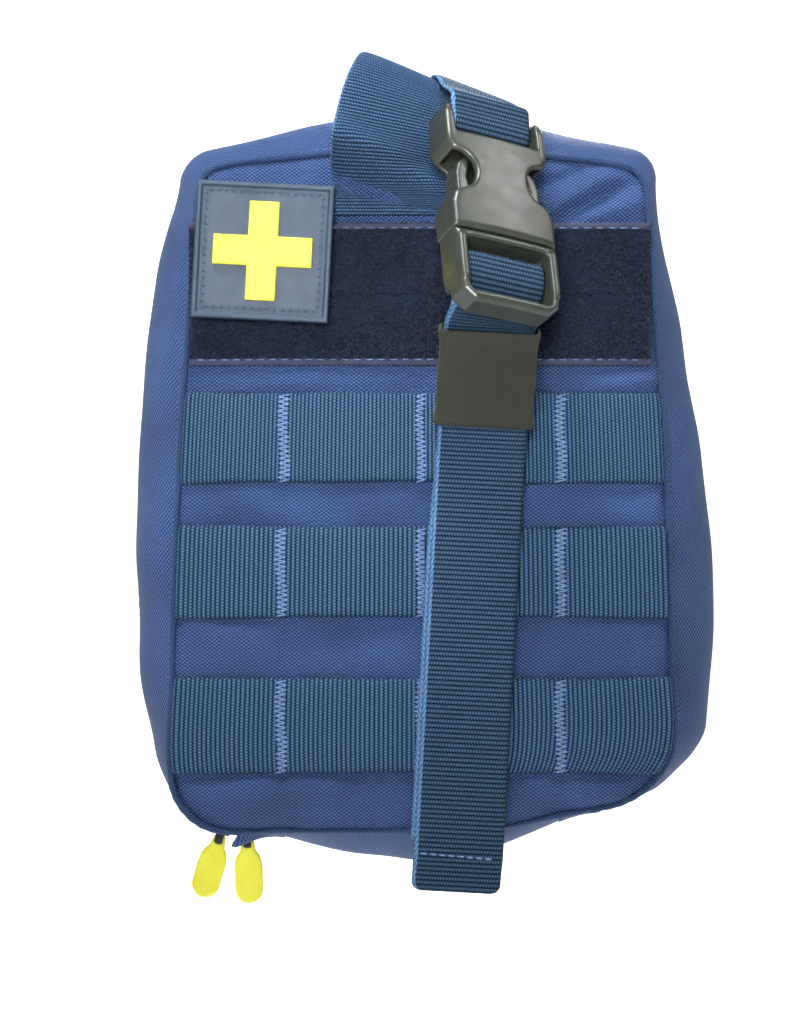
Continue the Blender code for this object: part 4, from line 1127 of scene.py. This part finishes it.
def plug_field(u, w, v):
    flat = plan(mirrored(PLUG), u, v) - 0.05
    front = 5.0 + 0.5 * (1 - (u / 15) ** 2)
    body = thick(flat + 0 * w, np.where(w > 0, w - front, -w - 4.9), 1.7)
    ridges = [((side * 13.5, 4.9, -19.5), (0.8, 0.7, 6.5), 0.5, 1.2) for side in (-1, 1)]
    return with_blocks(body, (u, w, v), ((0, 0, -21.2), (12.3, 12, 8.1), 2.0, -0.7),
                       ((0, -5.0, -30.6), (16, 2.9, 4.6), 0.8, -0.5),
                       ((0, 0, -18.8), (13.2, 1.15, 1.75), 1.0, 0.4),
                       ((0, 0, -11.6), (12.4, 3.4, 1.5), 0.6, 0.5),
                       ((0, 0, -0.5), (2.9, 1.4, 11.9), 0.7, 0.5),
                       *ridges)


def prong_field(side):
    def field(u, w, v):
        flat = plan(PRONG, side * u, v)
        arm = thick(flat + 0 * w, np.abs(w) - 3.5, 0.8)
        for level in (2.2, 3.9, 5.6):
            arm = carved(arm, np.hypot(side * u - 13.0, v - level) - 0.55, 0.3)
        return arm
    return field


def make_buckle():
    solid("socket_shell", (-17.0, -7.4, -12.0), (17.0, 7.8, 30), 0.42, socket_field, on_buckle, PLASTIC,
          "cover", "buckle_socket")
    solid("plug_frame", (-17.0, -6.4, -33.6), (17.0, 7.0, 13), 0.42, plug_field, on_buckle, PLASTIC,
          "lower_strap", "buckle_plug")
    for side, label in SIDES:
        low, high = sorted((side * 4.8, side * 13.8))
        solid(f"release_prong_{label}", (low, -4.4, -10.6), (high, 4.4, 14.6), 0.38, prong_field(side),
              on_buckle, PLASTIC, f"prong_{label}", f"buckle_prong_{label}")


def swung(points, degrees, x0, z0):
    """X and Z of points about a place, turned in the front plane."""
    turn = math.radians(degrees)
    x = x0 + points[..., 0] * math.cos(turn) - points[..., 2] * math.sin(turn)
    return x, z0 + points[..., 0] * math.sin(turn) + points[..., 2] * math.cos(turn)


def patch_place(points):
    """Patch axes (across, outward, up) to the world, resting on the domed loop tape."""
    x, z = swung(points, PATCH_TILT, *PATCH_CENTRE)
    return at(x, 71.7 + points[..., 1] + 0.9 * dome(x, z), z)


def patch_field(u, w, v):
    half = PATCH_SIZE / 2
    flat = plan([(half, half), (-half, half), (-half, -half), (half, -half)], u, v) + 0 * w
    base = thick(flat - 0.05, np.abs(w - 0.95) - 0.95, 0.45)
    rim = thick(np.abs(flat + 0.75) - 0.7, np.abs(w - 1.3) - 1.15, 0.4)
    base = blended(base, rim, 0.25)
    groove = np.hypot(flat + 2.9, w - 2.0) - 0.42
    base = carved(base, groove, 0.25)
    run = np.where(np.abs(u) > np.abs(v), v, u)
    past_bead = np.clip(np.abs((run % 2.1) - 1.05) - 0.62, 0, None)
    bead = np.hypot(np.hypot(flat + 2.9, (w - 1.75) * 1.1), past_bead) - 0.34
    return blended(base, bead, 0.12)


CROSS_OUTLINE = mirrored([(4.1, -13.5), (4.1, -4.1), (13.5, -4.1), (13.5, 4.1), (4.1, 4.1), (4.1, 13.5)])


def cross_field(u, w, v):
    flat = plan(CROSS_OUTLINE, u, v) + 0 * w
    return thick(flat, np.abs(w - 2.35) - 0.8, 0.5)


def make_patch():
    half = PATCH_SIZE / 2 + 0.8
    solid("patch_body", (-half, -0.6, -half), (half, 3.2, half), 0.3, patch_field, patch_place, PVC,
          "patch", "patch_base")
    solid("patch_emblem", (-15.4, 0.9, -15.4), (15.4, 3.8, 15.4), 0.3, cross_field, patch_place, CROSS,
          "patch", "patch_cross")
    inner = PATCH_SIZE / 2 - 1.0
    rng = np.random.default_rng(9)
    count = 1500
    spots = rng.uniform(-inner + 0.5, inner - 0.5, (count, 2))
    share = np.linspace(0, 1, 5)
    u = spots[:, :1] + 0.35 * np.sin(math.pi * share)
    w = -0.35 - 0.55 * np.sin(math.pi * share * 0.9) + 0 * u
    v = spots[:, 1:] + 0 * u
    threads("patch_hooks", patch_place(np.stack([u, w, v], -1)), 0.08, HOOKS, "patch", 3)
    side = np.linspace(-inner, inner, 40)
    a, b = np.meshgrid(side, side)
    sheet = patch_place(np.stack([a, 0 * a - 0.3, b], -1))
    grid("patch_backing", sheet, pairs(a, b), HOOK_BASE, ("patch", "patch_hook_backing"), thickness=0.35)


# The middle of the zip's lower left corner arc.
CORNER = (-ZIP_OUTLINE["low_half"] + ZIP_OUTLINE["low_radius"],
          ZIP_OUTLINE["bottom"] + ZIP_OUTLINE["low_radius"])
SLIDERS = {"lower": (270.0, 2.0), "upper": (255.2, -17.0)}
SLIDER_RADIUS = ZIP_OUTLINE["low_radius"] + 2.1
SLIDER_DEPTH = 43.6
PIN_DROP = 2.9
PULL_LENGTH = 17.0


def corner_place(angle, radius, tilt):
    """Axes (across, outward, up) at a point on the corner arc, turned in the front plane."""
    turn = math.radians(angle)
    x0, z0 = CORNER[0] + radius * math.cos(turn), CORNER[1] + radius * math.sin(turn)

    def place(points):
        x, z = swung(points, tilt, x0, z0)
        return at(x, SLIDER_DEPTH + points[..., 1], z)
    return place


def slider_field(u, w, v):
    body = block(u, w, v, (0, 0, 0), (2.7, 4.0, 0.8), 0.5)
    lugs = [((0, side * 3.0, -1.9), (1.2, 0.55, 1.7), 0.5, 0.4) for side in (-1, 1)]
    body = with_blocks(body, (u, w, v), *lugs)
    pin = np.maximum(np.hypot(u, v + PIN_DROP) - 0.65, np.abs(w) - 3.0)
    return blended(body, pin, 0.3)


def pull_field(u, w, v):
    low = -PULL_LENGTH + 4.1
    share = clamp(v / low)
    line = v - np.clip(v, low, 0)
    flat = np.hypot(u, line) - np.interp(-v, [0, 2.2, 3.4, 5.0, 7.0], [1.85, 2.3, 3.3, 3.8, 4.05])
    level = np.abs(w) - (1.75 - 0.25 * share) + 0.05 * u * u * share
    body = thick(flat, level, 0.9)
    return carved(body, np.hypot(u, v) - 1.05, 0.3)


def make_sliders():
    for label, (angle, tilt) in SLIDERS.items():
        place = corner_place(angle, SLIDER_RADIUS, angle - 270.0)
        solid(f"slider_{label}", (-4.6, -5, -6), (4.6, 5, 1.8), 0.26, slider_field, place, STEEL,
              f"slider_{label}", f"zip_slider_{label}")
        hang = corner_place(angle, SLIDER_RADIUS + PIN_DROP, tilt)
        solid(f"pull_{label}", (-5, -2.8, -18.2), (5, 2.8, 3.0), 0.28, pull_field, hang, PULL,
              f"pull_{label}", f"zip_pull_{label}")


# ---------------------------------------------------------------- rear platform and inside


# Half width, half height and corner radius of the rear hook and loop fields, and the reach of their pile.
FIELD = (58, 75, 6)
FIELD_REACH = ((-56.5, -73.5), (56.5, 73.5))


def rounded_panel(name, half_x, half_z, radius, depth, thickness, on, finish, face):
    """A flat sewn panel with rounded corners, from a distance-shrunk grid."""
    columns = np.linspace(-1, 1, round(half_x * 1.6))[None]
    lines = np.linspace(-1, 1, round(half_z * 1.6))[:, None]
    x, z = columns * half_x + 0 * lines, lines * half_z + 0 * columns
    over_x, over_z = np.abs(x) - (half_x - radius), np.abs(z) - (half_z - radius)
    reach = np.hypot(np.maximum(over_x, 0), np.maximum(over_z, 0))
    both = (over_x > 0) & (over_z > 0)
    far = np.maximum(np.maximum(over_x, over_z), 1e-6)
    scale = np.where(both, far / np.maximum(reach, 1e-6), 1.0)
    x = np.where(both, np.sign(x) * (half_x - radius + over_x * scale), x)
    z = np.where(both, np.sign(z) * (half_z - radius + over_z * scale), z)
    rim = clamp((np.maximum(np.abs(x) - half_x, np.abs(z) - half_z) + 3.0) / 3.0)
    points = at(x, depth + face * (0.12 * CLOTH(x, z) - 0.3 * rim**3), z)
    points, uv = turned_over(face, points, pairs(x, z))
    grid(name, points, uv, finish, on, thickness=thickness)


def make_platform():
    rounded_panel("platform_cloth", 64, 86, 10, 3.8, 2.3, ("platform", "platform_panel"), NAVY, -1)
    ring = [(60.5, 82.5), (-60.5, 82.5), (-60.5, -82.5), (60.5, -82.5), (60.5, 82.5)]
    for side in range(4):
        (x0, z0), (x1, z1) = ring[side], ring[side + 1]
        run = np.linspace(0.07, 0.93, 20)
        stitches(f"platform_stitch_{side}", at(x0 + (x1 - x0) * run, 3.75, z0 + (z1 - z0) * run), 3.3,
                 "platform", DARK_THREAD, (0, 1, 0))
    rounded_panel("platform_loops", *FIELD, 7.6, 1.2, ("platform", "platform_loop_field"), PILE_BASE, 1)
    pile("platform_pile", *FIELD_REACH, 9000, lambda x, z: 7.6 + 0 * x, "platform", 81, 1.0, 0.6)
    for label, z in (("upper", 50.8), ("middle", 0.0), ("lower", -50.8)):
        share = np.linspace(-60, 60, round(120 / 1.27 * 4) + 1)[:, None]
        t = np.linspace(-12.5, 12.5, 25)[None]
        gap = 0.25 * np.abs(np.sin(share / 38.1 * math.pi + math.pi / 2))
        rows = at(share + 0 * t, 2.65 - gap, z + t + 0 * share)
        ribbon(f"platform_row_{label}", rows, 12.5, 1.3, 1.27, WEBBING,
               ("platform", f"platform_webbing_{label}"), (0, 1, 0))
        for number, x in enumerate((-57.2, -19.05, 19.05, 57.2)):
            zigzag(f"platform_tack_{label}_{number}", x, z, 24.0, lambda a, b: 2.0 + 0 * a, "platform",
                   2.6, 1.0, DARK_THREAD)


SNAP_HEAD = [(0.02, 1.72), (2.0, 1.74), (5.4, 1.78), (6.3, 1.95), (6.5, 2.2), (6.2, 2.44), (5.0, 2.5),
             (3.0, 2.5), (0.02, 2.5)]
SNAP_SOCKET = [(0.02, 2.8), (2.2, 2.8), (4.2, 2.82), (4.9, 2.95), (5.0, 3.15), (4.8, 3.35), (0.02, 3.4)]


def snap(name, profile, centre, on):
    """A round metal part about the depth axis: profile gives radius and depth."""
    profile = smooth_path(np.array(profile), 0.25)
    angle = np.linspace(0, 2 * math.pi, 49)[:-1]
    x = centre[0] + profile[:, :1] * np.cos(angle)
    z = centre[1] + profile[:, :1] * np.sin(angle)
    points = at(x, profile[:, 1:], z)
    grid(name, points, pairs(profile[:, :1], angle[None]), STEEL, on, around=True)


def make_mounts():
    for side, label in SIDES:
        x0 = side * MOUNT_X
        body = f"mounting_{label}"
        z = np.linspace(MOUNT_TOP, MOUNT_BOTTOM, round((MOUNT_TOP - MOUNT_BOTTOM) / 0.32))
        over = np.clip(np.abs(z - (MOUNT_TOP + MOUNT_BOTTOM) / 2) - 80.0, 0, None)
        half = 12.0 - 4.0 + np.sqrt(np.clip(16.0 - over**2, 0.05, None))
        share = np.linspace(-1, 1, 25)[None]
        rows = at(x0 + share * half[:, None], 0.85, z[:, None] + 0 * share)
        ribbon(f"mounting_webbing_{label}", rows, 12.0, 1.5, 1.3, WEBBING,
               (body, f"mounting_strap_{label}"), (0, 1, 0))
        for edge in (-9.6, 9.6):
            run = np.linspace(MOUNT_TOP - 4, MOUNT_BOTTOM + 4, 60)
            where = "in" if edge * side < 0 else "out"
            stitches(f"mount_stitch_{label}_{where}", at(x0 + edge, 0.12, run), 3.2, body, DARK_THREAD,
                     (0, 1, 0), rise=0.14, radius=0.16)
        spot = (x0, MOUNT_BOTTOM + 12.0)
        snap(f"snap_head_{label}", SNAP_HEAD, spot, (body, f"snap_cap_{label}"))
        snap(f"snap_socket_{label}", SNAP_SOCKET, spot, ("platform", f"snap_stud_{label}"))


def make_inside():
    rounded_panel("hook_ground", *FIELD, 8.7, 0.6, ("pouch", "back_hook_field"), HOOK_BASE, -1)
    pile("hook_field", *FIELD_REACH, 6500, lambda x, z: 8.9 + 0 * x, "pouch", 91, -1.0, 0.3, HOOKS, 0.35)
    for label, z in (("upper", 45.0), ("lower", -20.0)):
        share = np.linspace(-52, 52, 261)
        stops = np.array([-52, -26, 0, 26, 52])
        place = np.clip(np.searchsorted(stops, share) - 1, 0, 3)
        part = (share - stops[place]) / 26.0
        rise = 1.0 * np.sin(math.pi * part) ** 2
        t = np.linspace(-19, 19, 31)
        x, q = np.broadcast_arrays(share[:, None], z + t[None])
        roll = clamp((np.abs(t[None]) - 17.4) / 1.6)
        points = at(x, 13.6 + rise[:, None] + 0.25 * np.sin(math.pi * roll), q)
        points, uv = turned_over(-1, points, pairs(x, q))
        grid(f"organiser_elastic_{label}", points, uv, INNER_ELASTIC, ("pouch", f"organiser_band_{label}"),
             thickness=1.0)
        for number, x in enumerate((-51.0, -26.0, 0.0, 26.0, 51.0)):
            zigzag(f"organiser_tack_{label}_{number}", x, z, 35.0, lambda a, b: 13.95 + 0 * a, "pouch",
                   1.6)
    make_net()


def make_net():
    """A knotted net pocket inside the cover, with a bound edge all round."""
    low, high = (-52.0, -82.5), (52.0, 12.5)
    depth = 64.9
    count = 27
    lines = []
    span = high[0] - low[0]
    tall = high[1] - low[1]
    share = np.linspace(0, 1, 90)
    for k in range(count):
        for flip in (0.0, math.pi):
            wave = np.sin(share * 24 * math.pi + flip + k * math.pi)
            x = low[0] + span * (k + 0.5) / count + wave
            lines.append(at(x, depth + 0.25 * np.cos(share * 24 * math.pi + flip), low[1] + tall * share))
    threads("net_pocket", np.array(lines), 0.19, NET, ("cover", "mesh_pocket"))
    edges = [(low[0], low[1], high[0], low[1]), (low[0], high[1], high[0], high[1]),
             (low[0], low[1], low[0], high[1]), (high[0], low[1], high[0], high[1])]
    for number, (x0, z0, x1, z1) in enumerate(edges):
        run = np.linspace(0, 1, 120)[:, None]
        t = np.linspace(-2.0, 2.0, 7)[None]
        x = x0 + (x1 - x0) * run + (t if x0 == x1 else 0 * t)
        z = z0 + (z1 - z0) * run + (0 * t if x0 == x1 else t)
        ribbon(f"net_binding_{number}", at(x, depth, z), 2.0, 0.8, 0.9, INNER_BINDING, "cover",
               (0, 1, 0), 0.08)


make_stage()
make_shells()
make_rows()
make_loop_tape()
make_lower_strap()
make_top_strap()
make_handle()
make_keeper()
make_buckle()
make_patch()
make_sliders()
make_platform()
make_mounts()
make_inside()
